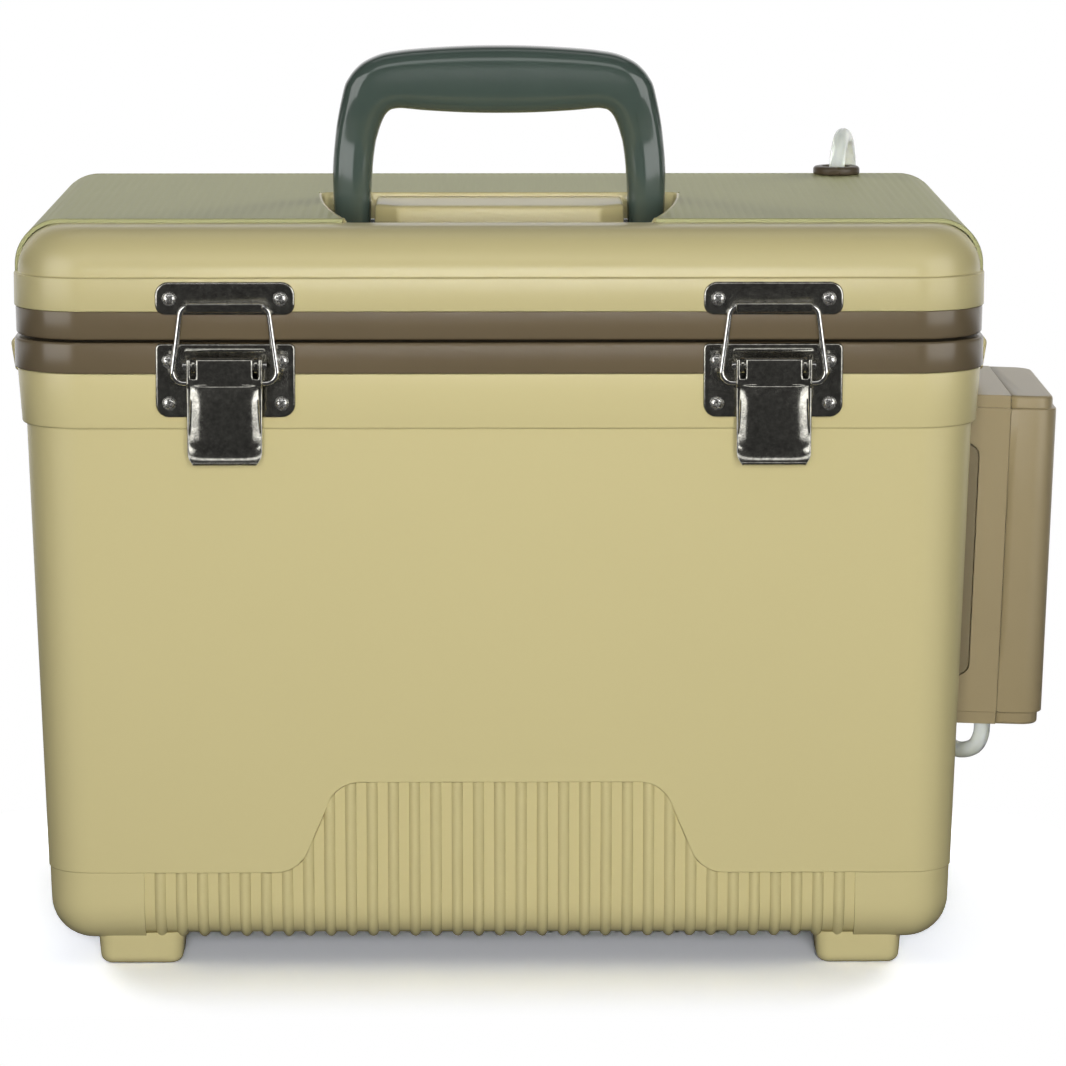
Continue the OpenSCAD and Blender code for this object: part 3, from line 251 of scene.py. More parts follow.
class Plan:
    """Columns round a rounded rectangle, seen from above and counted anticlockwise from the
    front left. Each stands at a base point and leaves it along its own direction, so that a
    point lies at base + (radius + out) * direction."""

    def __init__(self, width, depth, radius, along_x, along_y, turn=10):
        cx, cy = width / 2 - radius, depth / 2 - radius
        xs, ys = cx * np.asarray(along_x), cy * np.asarray(along_y)
        base, angle = [], []
        for side in range(4):
            a = -90.0 + 90.0 * side
            run = [xs, ys, -xs, -ys][side]
            if side % 2 == 0:
                line = np.stack([run, np.full_like(run, -cy if side == 0 else cy)], 1)
            else:
                line = np.stack([np.full_like(run, cx if side == 1 else -cx), run], 1)
            corner = np.array([[cx, -cy], [cx, cy], [-cx, cy], [-cx, -cy]][side])
            inner = np.linspace(a, a + 90, turn + 1)[1:-1]
            base += [line, np.repeat(corner[None], len(inner), 0)]
            angle += [np.full(len(run), a), inner]
        self.base = np.concatenate(base)
        turnings = np.radians(np.concatenate(angle))
        self.direction = np.stack([np.cos(turnings), np.sin(turnings)], 1)
        self.radius = radius
        self.front = len(xs)
        self.turn = turn

    def rise(self, out, z):
        """Rows of the section, each an amount outwards and a height, for every column."""
        out, z = np.broadcast_arrays(np.atleast_1d(out), np.atleast_1d(z))
        if out.ndim == 1:
            out, z = out[:, None], z[:, None]
        columns = len(self.base)
        out = np.broadcast_to(out, (len(out), columns))
        z = np.broadcast_to(z, (len(z), columns))
        points = np.empty(out.shape + (3,))
        points[..., :2] = self.base + self.direction * (self.radius + out)[..., None]
        points[..., 2] = z
        return points

    def swept(self, section):
        """A section, a list of [out, z], carried round the plan."""
        out, z = np.asarray(section, float).T
        return self.rise(out, z)


EVEN = np.linspace(-1, 1, 7)


def rounded_section(corners, radii, steps=4):
    """A section's corners, each turned into an arc of its radius: the arc's points lie at the
    corner plus shares of the two edges, bent by the usual half-angle rule."""
    p = np.asarray(corners, float)
    made = [p[:1]]
    for i in range(1, len(p) - 1):
        r = radii[i]
        if r <= 0:
            made.append(p[i:i + 1])
            continue
        a, b = p[i - 1] - p[i], p[i + 1] - p[i]
        la, lb = np.linalg.norm(a), np.linalg.norm(b)
        a, b = a / la, b / lb
        half = math.acos(max(-1.0, min(1.0, float(a @ b)))) / 2
        cut = min(r / math.tan(half), 0.49 * la, 0.49 * lb)
        r = cut * math.tan(half)
        centre = p[i] + (a + b) / np.linalg.norm(a + b) * (r / math.sin(half))
        start, end = p[i] + a * cut - centre, p[i] + b * cut - centre
        t = np.linspace(0, 1, steps + 1)[:, None]
        swing = math.pi - 2 * half
        turn = start * np.sin((1 - t) * swing) + end * np.sin(t * swing)
        made.append(centre + turn / math.sin(swing))
    made.append(p[-1:])
    return np.concatenate(made)


def closed_outline(points, radii, steps=5):
    """A closed polygon with its corners rounded."""
    p = np.asarray(points, float)
    p = np.concatenate([p[-1:], p, p[:1]])
    r = [0] + list(np.broadcast_to(radii, len(points))) + [0]
    return rounded_section(p, r, steps)[1:-1]


def outline_normals(outline):
    """Unit normals of a closed anticlockwise outline, pointing out of it, as the mean of the
    directions to both neighbours turned by a quarter."""
    step = np.roll(outline, -1, 0) - outline
    step /= np.maximum(np.linalg.norm(step, axis=1), 1e-9)[:, None]
    mean = step + np.roll(step, 1, 0)
    n = np.stack([mean[:, 1], -mean[:, 0]], 1)
    size = np.linalg.norm(n, axis=1)
    n /= size[:, None]
    return n * (2 / np.maximum(size, 1.2))[:, None]


def raised(outline, rows):
    """An outline in a plane carried along rows of [inset, height]: every point moves inwards
    by the inset along its normal. Gives rows by columns of [x, y, height]."""
    n = outline_normals(outline)
    rows = np.asarray(rows, float)
    points = np.empty((len(rows), len(outline), 3))
    points[..., :2] = outline - n * rows[:, 0][:, None, None]
    points[..., 2] = rows[:, 1][:, None]
    return points


def edge_rows(low, high, edge, steps=3):
    """Rows for a flat body between two heights, with both rims rounded by edge."""
    foot = arc((edge, low + edge), edge, 270, 180, steps)
    head = arc((edge, high - edge), edge, 180, 90, steps)
    return np.concatenate([foot, head])


def turned_to(points, axes):
    """Reorders x, y, z of a grid: axes names where each new coordinate comes from, and a
    minus sign before it turns it round."""
    out = np.empty_like(points)
    for k, a in enumerate(axes):
        out[..., k] = points[..., "xyz".index(a[-1])] * (-1 if a[0] == "-" else 1)
    return out


def headings(path):
    """Unit directions along a path."""
    heading = np.gradient(path, axis=0)
    return heading / np.linalg.norm(heading, axis=1)[:, None]


def squared(sides, power):
    """Cosines and sines round a circle, raised to a power: below 1 it squares the circle off."""
    a = np.linspace(0, 2 * np.pi, sides, endpoint=False)
    return (np.sign(w) * np.abs(w) ** power for w in (np.cos(a), np.sin(a)))


def carried(path, across, radius, sides):
    """A round section carried along a path, from a direction square to the path at each
    point: the other direction is the product of the two."""
    path = np.asarray(path, float)
    across = across / np.linalg.norm(across, axis=1)[:, None]
    other = np.cross(headings(path), across)
    u, v = squared(sides, 1.0)
    return path[:, None] + radius * (across[:, None] * u[:, None] + other[:, None] * v[:, None])


def smooth_line(points, start, end, steps=6):
    """A smooth line through points: each stretch is a cubic whose directions at its ends are
    those of the neighbouring points (Catmull-Rom). start and end give the end directions."""
    p = np.asarray(points, float)
    first = p[1] - 2 * np.asarray(start, float) * np.linalg.norm(p[1] - p[0])
    last = p[-2] + 2 * np.asarray(end, float) * np.linalg.norm(p[-1] - p[-2])
    p = np.concatenate([[first], p, [last]])
    t = np.linspace(0, 1, steps, endpoint=False)[None, :, None]
    a, b, c, d = (p[k:len(p) - 3 + k, None] for k in range(4))
    line = 0.5 * (2 * b + (c - a) * t + (2 * a - 5 * b + 4 * c - d) * t ** 2
                  + (3 * b - a - 3 * c + d) * t ** 3)
    return np.concatenate([line.reshape(-1, 3), p[-2:-1]])


def steady_across(path):
    """A direction square to the path at each point, turned as little as can be on the way:
    the one before, with its part along the new heading taken off."""
    made = []
    heading = headings(path)
    u = np.cross(heading[0], [0.3, 1.0, 0.1])
    for h in heading:
        u = u - (u @ h) * h
        u = u / np.linalg.norm(u)
        made.append(u)
    return np.array(made)


def turned(profile, sides):
    """A profile of [radius, height] turned about the z axis."""
    p = np.asarray(profile, float)
    a = np.linspace(0, 2 * np.pi, sides, endpoint=False)
    points = np.empty((len(p), sides, 3))
    points[..., 0] = p[:, :1] * np.cos(a)
    points[..., 1] = p[:, :1] * np.sin(a)
    points[..., 2] = p[:, 1:]
    return points


def bored(outline, centre, hole_r, low, high, edge, columns=64):
    """A block with a round hole: rays from the hole's middle meet the outline, and the rows
    run from the hole over one rounded face, along the outside and back over the other."""
    outline = np.asarray(outline, float) - centre
    corner_angles = np.arctan2(outline[:, 1], outline[:, 0])
    angles = np.unique(np.round(np.concatenate(
        [corner_angles, np.linspace(-np.pi, np.pi, columns, endpoint=False)]), 5))
    ray = np.stack([np.cos(angles), np.sin(angles)], 1)
    a, b = outline, np.roll(outline, -1, 0)
    d = b - a
    cross = ray[:, None, 0] * d[None, :, 1] - ray[:, None, 1] * d[None, :, 0]
    cross = np.where(np.abs(cross) < 1e-9, 1e-9, cross)
    t = (a[None, :, 0] * d[None, :, 1] - a[None, :, 1] * d[None, :, 0]) / cross
    s = (a[None, :, 0] * ray[:, None, 1] - a[None, :, 1] * ray[:, None, 0]) / cross
    hit = np.where((t > 0) & (s > -1e-6) & (s < 1 + 1e-6), t, np.inf).min(1)
    rows = [(np.full_like(hit, hole_r), high), (np.full_like(hit, hole_r), low)]
    rows += [(hit - inset, z) for inset, z in edge_rows(low, high, edge)]
    return np.array([np.column_stack([centre[0] + ray[:, 0] * r, centre[1] + ray[:, 1] * r,
                                      np.full(len(ray), z)]) for r, z in rows])


def on_pump(points):
    """From the pump's own frame, whose X leaves the leaning wall, to the bucket's frame."""
    c, s = math.cos(WALL_DRAFT), math.sin(WALL_DRAFT)
    out = np.array(points, float)
    x, z = out[..., 0].copy(), out[..., 2].copy()
    out[..., 0] = PUMP_X + x * c + z * s
    out[..., 2] = PUMP_Z - x * s + z * c
    return out


# ---------------------------------------------------------------- finishes


def fill(tree, node, inputs):
    """Sets a node's inputs: each takes a value, or a link from another node's socket."""
    for key, value in inputs.items():
        if isinstance(value, bpy.types.NodeSocket):
            tree.links.new(value, node.inputs[key])
        else:
            node.inputs[key].default_value = value


def add_node(tree, kind, inputs, **options):
    """A shader node with its options and inputs. Gives its outputs."""
    node = tree.nodes.new("ShaderNode" + kind)
    for name, value in options.items():
        setattr(node, name, value)
    fill(tree, node, inputs)
    return node.outputs


def finish(name, colour, rough=0.4, metallic=0.0, mottle=0.03, mottle_size=30.0, grain=0.0,
           grain_size=0.5, smear=0.05, edge=0.0, coat=0.0, ior=1.5, transmission=0.0,
           subsurface=0.0, speckle=0.0):
    """A surface finish on Object coordinates: colour drifts by mottle, gloss by smear, speckle
    darkens it in dots, and the grain is a fine bump. Sizes are in millimetres. edge rounds the
    solids' edges in shading."""
    made = bpy.data.materials.new(name)
    made.use_nodes = True
    tree = made.node_tree
    place = add_node(tree, "TexCoord", {})["Object"]

    def noise(size, detail=3.0, roughness=0.5):
        return add_node(tree, "TexNoise", {"Vector": place, "Scale": 1 / (size * MM), "Detail": detail,
                                           "Roughness": roughness})["Fac"]

    def spread(source, low, high):
        return add_node(tree, "MapRange", {"Value": source, "From Min": 0.3, "From Max": 0.7,
                                           "To Min": low, "To Max": high})["Result"]

    dim, bright = ((*[min(1, c * (1 + sign * mottle)) for c in colour], 1) for sign in (-1, 1))
    shade = add_node(tree, "Mix", {"Factor": spread(noise(mottle_size), 0, 1), "A": dim, "B": bright},
                     data_type="RGBA")["Result"]
    if speckle:
        dots = spread(noise(grain_size * 4, 4.0, 0.7), 0.2, 1.6)
        shade = add_node(tree, "Mix", {"Factor": speckle, "A": shade, "B": dots},
                         data_type="RGBA", blend_type="MULTIPLY")["Result"]
    gloss = rough
    if smear:
        gloss = spread(noise(mottle_size * 0.3, 2.0), max(0.02, rough - smear), rough + smear)
    normal = {}
    if edge:
        normal["Normal"] = add_node(tree, "Bevel", {"Radius": edge * MM}, samples=6)["Normal"]
    if grain:
        normal["Normal"] = add_node(tree, "Bump", {"Distance": grain * MM, "Strength": 1.0,
                                                   "Height": noise(grain_size, 2.0), **normal})["Normal"]
    fill(tree, tree.nodes["Principled BSDF"], {
        "Base Color": shade, "Roughness": gloss, "Metallic": metallic, "IOR": ior,
        "Coat Weight": coat, "Coat Roughness": 0.08, "Transmission Weight": transmission,
        "Subsurface Weight": subsurface, "Subsurface Radius": (0.004, 0.004, 0.003),
        "Subsurface Scale": 0.5, **normal})
    return made


def dressed(name, material):
    """Gives a solid of the frame its finish."""
    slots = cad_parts[name].data.materials
    slots.clear()
    slots.append(material)


def linear(colour):
    """Screen values, 0 to 255, as the linear values that shaders take."""
    c = np.asarray(colour, float) / 255
    return tuple(np.where(c <= 0.04045, c / 12.92, ((c + 0.055) / 1.055) ** 2.4))


FINISHES = {}


def make_finishes(colours):
    """All finishes of the bucket. The lid's cover is a little darker than the tub. Its reeded panel is
    darker and greener still: painted shade for the top, which takes less light, and a painted green tint
    for what its gloss reflects."""
    tan, brown, pump, handle, nickel = (
        group[:3] for group in (colours.tan, colours.brown, colours.pump, colours.handle, colours.nickel))
    plain = dict(rough=0.27, mottle=0.01, mottle_size=150, smear=0)
    case = dict(rough=0.3, mottle=0.025, mottle_size=45, smear=0)
    FINISHES.update(
        tan=finish("tan_plastic", tan, **plain),
        lid=finish("lid_plastic", [0.88 * c for c in tan], **plain),
        # The panel is the tan darkened and turned green: painted shade of the top and a painted tint of
        # its reflection
        panel=finish("reeded_plastic_painted_shade", [0.6 * tan[0], 0.68 * tan[1], 0.62 * tan[2]],
                     **{**plain, "rough": 0.45}),
        brown=finish("brown_plastic", brown, rough=0.2, mottle=0.05, mottle_size=60, smear=0),
        foam=finish("foam", linear((236, 230, 208)), rough=0.9, mottle=0.04, mottle_size=3,
                    grain=0.3, grain_size=1.5, edge=0.5),
        seal=finish("seal_rubber", linear((58, 56, 52)), rough=0.7, grain=0.05, edge=0.4),
        grommet=finish("grommet_rubber", linear((70, 60, 46)), rough=0.3, smear=0.06),
        steel=finish("pin_steel", (0.62, 0.61, 0.59), rough=0.2, metallic=1, edge=0.25, smear=0.06),
        nickel=finish("nickel_plate", nickel, rough=0.18, metallic=1, mottle=0.12, mottle_size=4,
                      grain=0.014, grain_size=0.45, speckle=0.45, smear=0.03),
        wire=finish("bail_wire", (0.78, 0.77, 0.74), rough=0.1, metallic=1, mottle_size=5),
        screw=finish("screw_steel", (0.86, 0.85, 0.82), rough=0.26, metallic=1, mottle=0.06,
                     mottle_size=2),
        # The bracket is the pump's own olive brown at 0.62: painted shade for the shadow it lies in
        bracket=finish("bracket_plastic", [c * 0.62 for c in pump], edge=0.4),
        pump=finish("pump_plastic", pump, **case),
        case=finish("pump_case_plastic", pump, edge=0.6, **case),
        cell=finish("cell_jacket", (0.34, 0.35, 0.36), rough=0.3, metallic=0.6, edge=0.6),
        contact=finish("contact_metal", (0.72, 0.68, 0.55), rough=0.25, metallic=1, edge=0.2),
        motor=finish("motor_can", (0.55, 0.55, 0.54), rough=0.3, metallic=1, edge=0.6),
        nylon=finish("white_nylon", linear((222, 216, 198)), edge=0.3, subsurface=0.1),
        diaphragm=finish("diaphragm_rubber", (0.02, 0.02, 0.02), rough=0.6, edge=0.3),
        vinyl=finish("tube_vinyl", linear((226, 230, 224)), rough=0.2, mottle=0.02,
                     transmission=0.4, subsurface=0.3, ior=1.42),
        stone=finish("air_stone", linear((140, 148, 158)), rough=0.95, mottle=0.2, mottle_size=1.2,
                     grain=0.5, grain_size=0.9, speckle=0.5, edge=0.8),
        handle=finish("handle_plastic", handle, rough=0.12, mottle_size=20, smear=0, coat=0.4),
        switch=finish("switch_plastic", linear((38, 35, 31)), edge=0.4),
    )


# ---------------------------------------------------------------- settings


def length(name, about, value):
    """A length setting, whose default is given in millimetres."""
    return FloatProperty(name=name, description=about, default=value * MM, unit="LENGTH", precision=5)


def tint(name, about, value):
    """A colour setting, in linear values."""
    return FloatVectorProperty(name=name, description=about, default=value, subtype="COLOR", min=0, max=1)


def amount(name, about, value):
    """A plain number as a setting."""
    return FloatProperty(name=name, description=about, default=value)


class BucketSizes(bpy.types.PropertyGroup):
    """Sizes of the visible surfaces that the solids leave open"""
    rib_pitch: length("Rib pitch", "Distance from one rib to the next", 8)
    rib_depth: length("Rib depth", "Depth of the grooves between the ribs", 1.7)
    ledge_depth: length("Ledge depth", "How far the wall stands over the ribbed zone", 0.4)
    rib_width: length("Rib width", "Width of a rib at its foot", 4.2)
    reed_pitch: length("Reed pitch", "Distance between the fine reeds of the lid's panel", 3.3)
    reed_depth: length("Reed depth", "Depth of the reeds of the lid's panel", 0.22)
    plate_edge: length("Plate edge", "Rounding of the latch plates' rims", 0.9)
    tube_sides: IntProperty(name="Tube sides", description="Facets round the air tube",
                            default=20, min=8, max=48)


class BucketColours(bpy.types.PropertyGroup):
    """Colours of the bucket's main plastics and metals"""
    tan: tint("Shell", "Tan of the tub and the lid", linear((190, 179, 131)))
    brown: tint("Bands", "Brown of the two rim bands", linear((95, 83, 63)))
    pump: tint("Pump", "Olive brown of the pump's case", linear((144, 130, 98)))
    handle: tint("Handle", "Green grey of the handle", linear((62, 74, 68)))
    nickel: tint("Latch plate", "Dark nickel of the latches", (0.44, 0.43, 0.385))


class BucketStage(bpy.types.PropertyGroup):
    """Camera and lights"""
    lens: amount("Lens", "Focal length in millimetres on a 36 mm sensor", 174.6)
    key: amount("Key light", "Power of the front light in watts", 10.2)
    rear: amount("Rear lights", "Power of each rear light in watts", 10.0)
    strip: amount("Strip light", "Power of the strip over the front, seen in gloss only", 3.5)
    side: amount("Side lights", "Power of each side box, seen in gloss only", 14.0)
    top: amount("Top light", "Power of the top light in watts", 2.0)
    ambient: amount("Ambient", "Strength of the surroundings' light", 0.2)


def settings():
    """The three groups of settings: sizes, colours and stage."""
    scene = bpy.context.scene
    return scene.bucket_sizes, scene.bucket_colours, scene.bucket_stage


# ---------------------------------------------------------------- operators


class BUCKET_OT_finishes(bpy.types.Operator):
    """Makes the finishes and gives the solids that stay theirs"""
    bl_idname = "bucket.finishes"
    bl_label = "Finishes"

    def execute(self, context):
        make_finishes(settings()[1])
        kept = {
            "tub_foam": "foam", "lid_foam": "foam", "lid_seal": "seal", "hinge_rods": "steel",
            "handle_pins": "steel", "pump_bracket": "bracket", "bracket_screws": "screw",
            "pump_case": "case", "battery_cells": "cell", "battery_contacts": "contact",
            "pump_motor": "motor", "pump_head": "nylon", "pump_diaphragm": "diaphragm",
            "diaphragm_arm": "nylon", "air_stone": "stone", "switch_body": "switch",
            "switch_knob": "switch", "pump_crank": "nylon", "latch_pins": "steel",
        }
        for node, key in kept.items():
            dressed(node, FINISHES[key])
        return {"FINISHED"}


class BUCKET_OT_air_tube(bpy.types.Operator):
    """Lays the air tube from the pump round the back into the lid, and down to the air stone"""
    bl_idname = "bucket.air_tube"
    bl_label = "Air tube"

    def execute(self, context):
        sides = settings()[0].tube_sides
        outlet = on_pump(TUBE_OUTLET)
        down = on_pump(np.array([0.0, 0.0, -1.0])) - on_pump(np.zeros(3))
        outer = smooth_line(
            [outlet.tolist()] + LOWER_ROUTE + [HINGE_CROSSING] + UPPER_ROUTE + [TUBE_SPLIT],
            down, [0, 0, -1])
        inner = smooth_line([TUBE_SPLIT] + INNER_ROUTE + [STONE_END], [0, 0, -1], [-1, 0, 0])
        made = []
        for name, line, nodes in (("air_tube_outside", outer, ("air_tube_lower", "air_tube_upper")),
                                  ("air_tube_inside", inner, ("air_tube_inner",))):
            points = carried(line, steady_across(line), TUBE_D / 2, sides)
            made.append(Skin().body(points).piece(
                name, None, "tube_vinyl", nodes, FINISHES["vinyl"]))
        outside, inside = made
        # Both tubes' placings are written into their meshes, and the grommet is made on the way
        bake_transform(outside)
        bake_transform(inside)
        for piece, line, end, extra in ((outside, outer, "object", [self.grommet()]),
                                        (inside, inner, "fitting", [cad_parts["air_stone"]])):
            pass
        return {"FINISHED"}

    def grommet(self):
        """The flange, its neck and the flange under the lid, as one turned profile with the
        tube's passage in it."""
        top, low = LID_TOP + GROMMET_H, LID_TOP - PANEL_RISE - SHELL_T
        inner = TUBE_D / 2 + 0.3
        profile = rounded_section(
            [[inner, low - 2.2], [8.0, low - 2.2], [8.0, low], [6.0, low], [6.0, LID_TOP],
             [GROMMET_R, LID_TOP], [GROMMET_R, top], [TUBE_D / 2 + 2.6, top], [inner, LID_TOP - 4],
             [inner, low - 2.2]],
            [0, 0.5, 0.4, 0, 0, 0.7, 1.4, 0.9, 0, 0])
        points = turned(profile[:-1], 48) + [GROMMET_X, GROMMET_Y, 0]
        return Skin().grid(points, wrap_rows=True, wrap_columns=True).piece(
            "tube_grommet_skin", "lid", "grommet_rubber", ("tube_grommet",), FINISHES["grommet"])


def zone_top(x):
    """Height of the ribbed zone's upper edge at x: flat, then an S-curve of two arcs and the
    straight line between them up to the bay, mirrored about the middle. Also its slope."""
    top = ZONE_Z + BAY_RISE
    foot_arc = arc((BAY_FOOT_W / 2 + BAY_R / 2, ZONE_Z + BAY_R), BAY_R, -90, -160, 16)
    top_arc = arc((BAY_TOP_W / 2 - BAY_R / 2, top - BAY_R), BAY_R, 20, 90, 16)
    line = np.concatenate([foot_arc, top_arc])[::-1]
    line = np.concatenate([[[0, top]], line, [[BOX_W, ZONE_Z]]])
    ax = np.abs(x)
    z = np.interp(ax, line[:, 0], line[:, 1])
    ahead = np.interp(ax + 0.4, line[:, 0], line[:, 1])
    behind = np.interp(np.maximum(ax - 0.4, 0), line[:, 0], line[:, 1])
    return z, (behind - ahead) / 0.8


class BUCKET_OT_tub_shell(bpy.types.Operator):
    """Moulds the tub's ribbed outer shell with its collar, its feet and the latch pads"""
    bl_idname = "bucket.tub_shell"
    bl_label = "Tub shell"

    def execute(self, context):
        x, centres = self.rib_columns()
        cx = BOX_W / 2 - CORNER_R
        plan = Plan(BOX_W, BOX_D, CORNER_R, x / cx, np.linspace(-1, 1, END_COLUMNS), turn=14)
        columns = len(plan.base)
        wall_z = FOOT_H + FLOOR_R
        shell = np.concatenate([self.ribbed_wall(plan, centres, wall_z), self.collar(plan, wall_z)])
        skin = Skin().grid(shell, wrap_columns=True)
        skin.faces.append((np.arange(columns) + (len(shell) - 1) * columns).tolist())
        # Underside: strips from the front columns straight to the back ones
        front = np.arange(plan.front)
        rear_start = plan.front + (plan.turn - 1) * 2 + END_COLUMNS
        rear = rear_start + plan.front - 1 - front
        skin.faces += np.stack([front[:-1], front[1:], rear[1:], rear[:-1]], 1).tolist()
        right = np.arange(plan.front - 1, rear_start + 1)
        left = np.concatenate([np.arange(rear_start + plan.front - 1, columns), [0]])
        skin.faces += [right.tolist(), left.tolist()]
        self.feet(skin)
        self.pads(skin)
        skin.piece("tub_shell_skin", "tub", "tan_shell", ("tub_shell",), FINISHES["tan"], sharp=32)
        self.lugs()
        return {"FINISHED"}

    def rib_columns(self):
        """Places along the front, close together where a rib rises out of its groove, and the
        grooves' middles."""
        sizes = settings()[0]
        pitch = sizes.rib_pitch / MM
        cx = BOX_W / 2 - CORNER_R
        centres = (np.arange(RIB_COUNT + 1) - RIB_COUNT / 2) * pitch
        flank = pitch / 2 - sizes.rib_width / MM / 2 * RIB_SHARES
        across = np.concatenate([[0.0], flank, -flank])
        x = np.unique(np.round((centres[:, None] + across).ravel(), 4))
        x = x[(x > -cx + 14) & (x < cx - 14)]
        return np.concatenate([[-cx, -cx + 6, -cx + 12], x, [cx - 12, cx - 6, cx]]), centres

    def ribbed_wall(self, plan, centres, wall_z):
        """Rows up the rounded bottom edge and the wall, close together at the ribbed zone's
        edge. The depth under the wall's surface is the ledge under that edge, and the grooves
        between the ribs, which are round: it goes as 1 - (1 - v^2)^0.8, with v from a rib's
        middle to its foot."""
        sizes = settings()[0]
        pitch, rib_half = sizes.rib_pitch / MM, sizes.rib_width / MM / 2
        # Distance along the front or the back; the ends have no ribs
        flat = np.abs(np.abs(plan.direction[:, 1]) - 1) < 1e-6
        along = np.where(flat, plan.base[:, 0], BOX_W)
        top, slope = zone_top(plan.base[:, 0])
        top = np.where(flat, top, ZONE_Z)
        lean = np.where(flat, np.sqrt(1 + slope ** 2), 1.0)
        edge_z = top - BELOW_EDGE[:, None] * lean
        above = top + ABOVE_EDGE[:, None] * lean
        rise = np.linspace(0, 1, 5)[1:-1, None]
        wall = np.concatenate([
            wall_z + (edge_z[:1] - wall_z) * rise, edge_z, above,
            above[-1:] + (COLLAR_Z - 1.2 - above[-1:]) * np.linspace(0, 1, 9)[1:, None]])
        angle = np.radians(np.linspace(-90, 0, 11))[:, None] * np.ones(len(plan.base))
        nx = np.concatenate([np.cos(angle), np.ones_like(wall)])
        nz = np.concatenate([np.sin(angle), np.zeros_like(wall)])
        z = np.concatenate([wall_z + FLOOR_R * np.sin(angle), wall])
        out = np.concatenate([self.wall_out(wall_z) - FLOOR_R + FLOOR_R * np.cos(angle),
                              self.wall_out(wall)])
        below_edge = (top - z) / lean
        offset = np.abs((along - centres[0] + pitch / 2) % pitch - pitch / 2)
        v = np.clip((pitch / 2 - offset) / rib_half, 0, 1)
        groove = np.where(np.abs(along) > centres[-1] + pitch / 2 - rib_half, 0.0, 1 - (1 - v ** 2) ** 0.8)
        depth = (sizes.ledge_depth / MM * smoothstep(below_edge / 0.45)
                 + sizes.rib_depth / MM * groove * smoothstep((below_edge - 0.2) / 0.5))
        return plan.rise(out - depth * nx, z + depth * np.maximum(-nz, 0))

    def collar(self, plan, wall_z):
        """Rows over the collar and its upper edge, and down the inner wall to the floor."""
        section = rounded_section(
            [[self.wall_out(COLLAR_Z - 1.2), COLLAR_Z - 1.2], [-WALL_INSET, COLLAR_Z],
             [-COLLAR_LOW, COLLAR_Z], [-COLLAR_TOP, BAND_Z], [-COLLAR_TOP - SHELL_T, BAND_Z],
             [-COLLAR_LOW - SHELL_T, COLLAR_Z + SHELL_T], [-WALL_INSET - SHELL_T, COLLAR_Z + SHELL_T],
             [self.wall_out(wall_z) - SHELL_T, wall_z],
             [self.wall_out(wall_z) - FLOOR_R, FOOT_H + SHELL_T]],
            [0, 0.5, 0.9, 0.5, 0.5, 0, 0, FLOOR_R - SHELL_T, 0])
        return plan.swept(section[1:])

    def wall_out(self, z):
        """How far the wall stands from the rim's outline at height z."""
        return -WALL_INSET - math.tan(WALL_DRAFT) * (COLLAR_Z - z)

    def feet(self, skin):
        """Four feet, whose lower edges are rounded."""
        plan = Plan(FEET_W, FEET_D, FEET_R, EVEN, EVEN, turn=6)
        foot = plan.swept(np.concatenate([arc((-4.2, 3.4), 3.4, -90, 0, 6), [[0, 12.4]]]))
        for sx in (-1, 1):
            for sy in (-1, 1):
                skin.body(foot + [sx * FEET_X, sy * FEET_Y, 0])

    def pads(self, skin):
        """The two pads behind the latches, from the wall out to the plates."""
        outline = closed_outline([[-25, 213.5], [25, 213.5], [25, 228], [-25, 228]], 3)
        pad = turned_to(raised(outline, [[0, 120.5], [0, 125.7], [0.3, 125.95]]), ("x", "-z", "y"))
        for side in (-1, 1):
            skin.body(pad + [side * LATCH_X, 0, 0])

    def lugs(self):
        """The two pierced lugs for a strap, on the collar's ends."""
        tip = BOX_W / 2 - COLLAR_TOP + 11.3
        root = BOX_W / 2 - COLLAR_LOW - 1
        clear = BOX_W / 2 + 0.3
        outline = closed_outline(
            [[root, 211.4], [tip - 4, 213.4], [tip - 1.6, 215.4], [tip, BAND_Z - 2],
             [clear + 1.2, 236.7], [clear, 236.7], [clear, BAND_Z], [root, BAND_Z]],
            [0.3, 1.2, 1.2, 2.5, 0.4, 0.2, 0.2, 0.2], 4)
        block = bored(outline, np.array([BOX_W / 2 + 4.5, 222.5]), 3.25, -6, 6, 0.8)
        skin = Skin()
        for turn in (("x", "z", "y"), ("-x", "z", "y")):
            skin.grid(turned_to(block, turn), wrap_rows=True, wrap_columns=True)
        skin.piece("strap_lugs", "tub", "tan_shell", (), FINISHES["tan"])


def knuckles(skin, places, width, sign):
    """Hinge knuckles: a ring about the rod with a web to the wall, bored for the rod."""
    web = np.array([[-6.6, sign * 10.0], [-6.6, sign * 0.45], [-4.98, sign * 0.45]])
    ring = arc((0, 0), KNUCKLE_R, 175, -50, 24)
    ring[:, 1] *= -sign
    outline = np.concatenate([web, ring])
    for x in places:
        block = bored(outline, np.zeros(2), ROD_R + 0.02, x - width / 2, x + width / 2, 0.5, 48)
        skin.grid(turned_to(block, ("z", "x", "y")) + [0, HINGE_Y, HINGE_Z],
                  wrap_rows=True, wrap_columns=True)


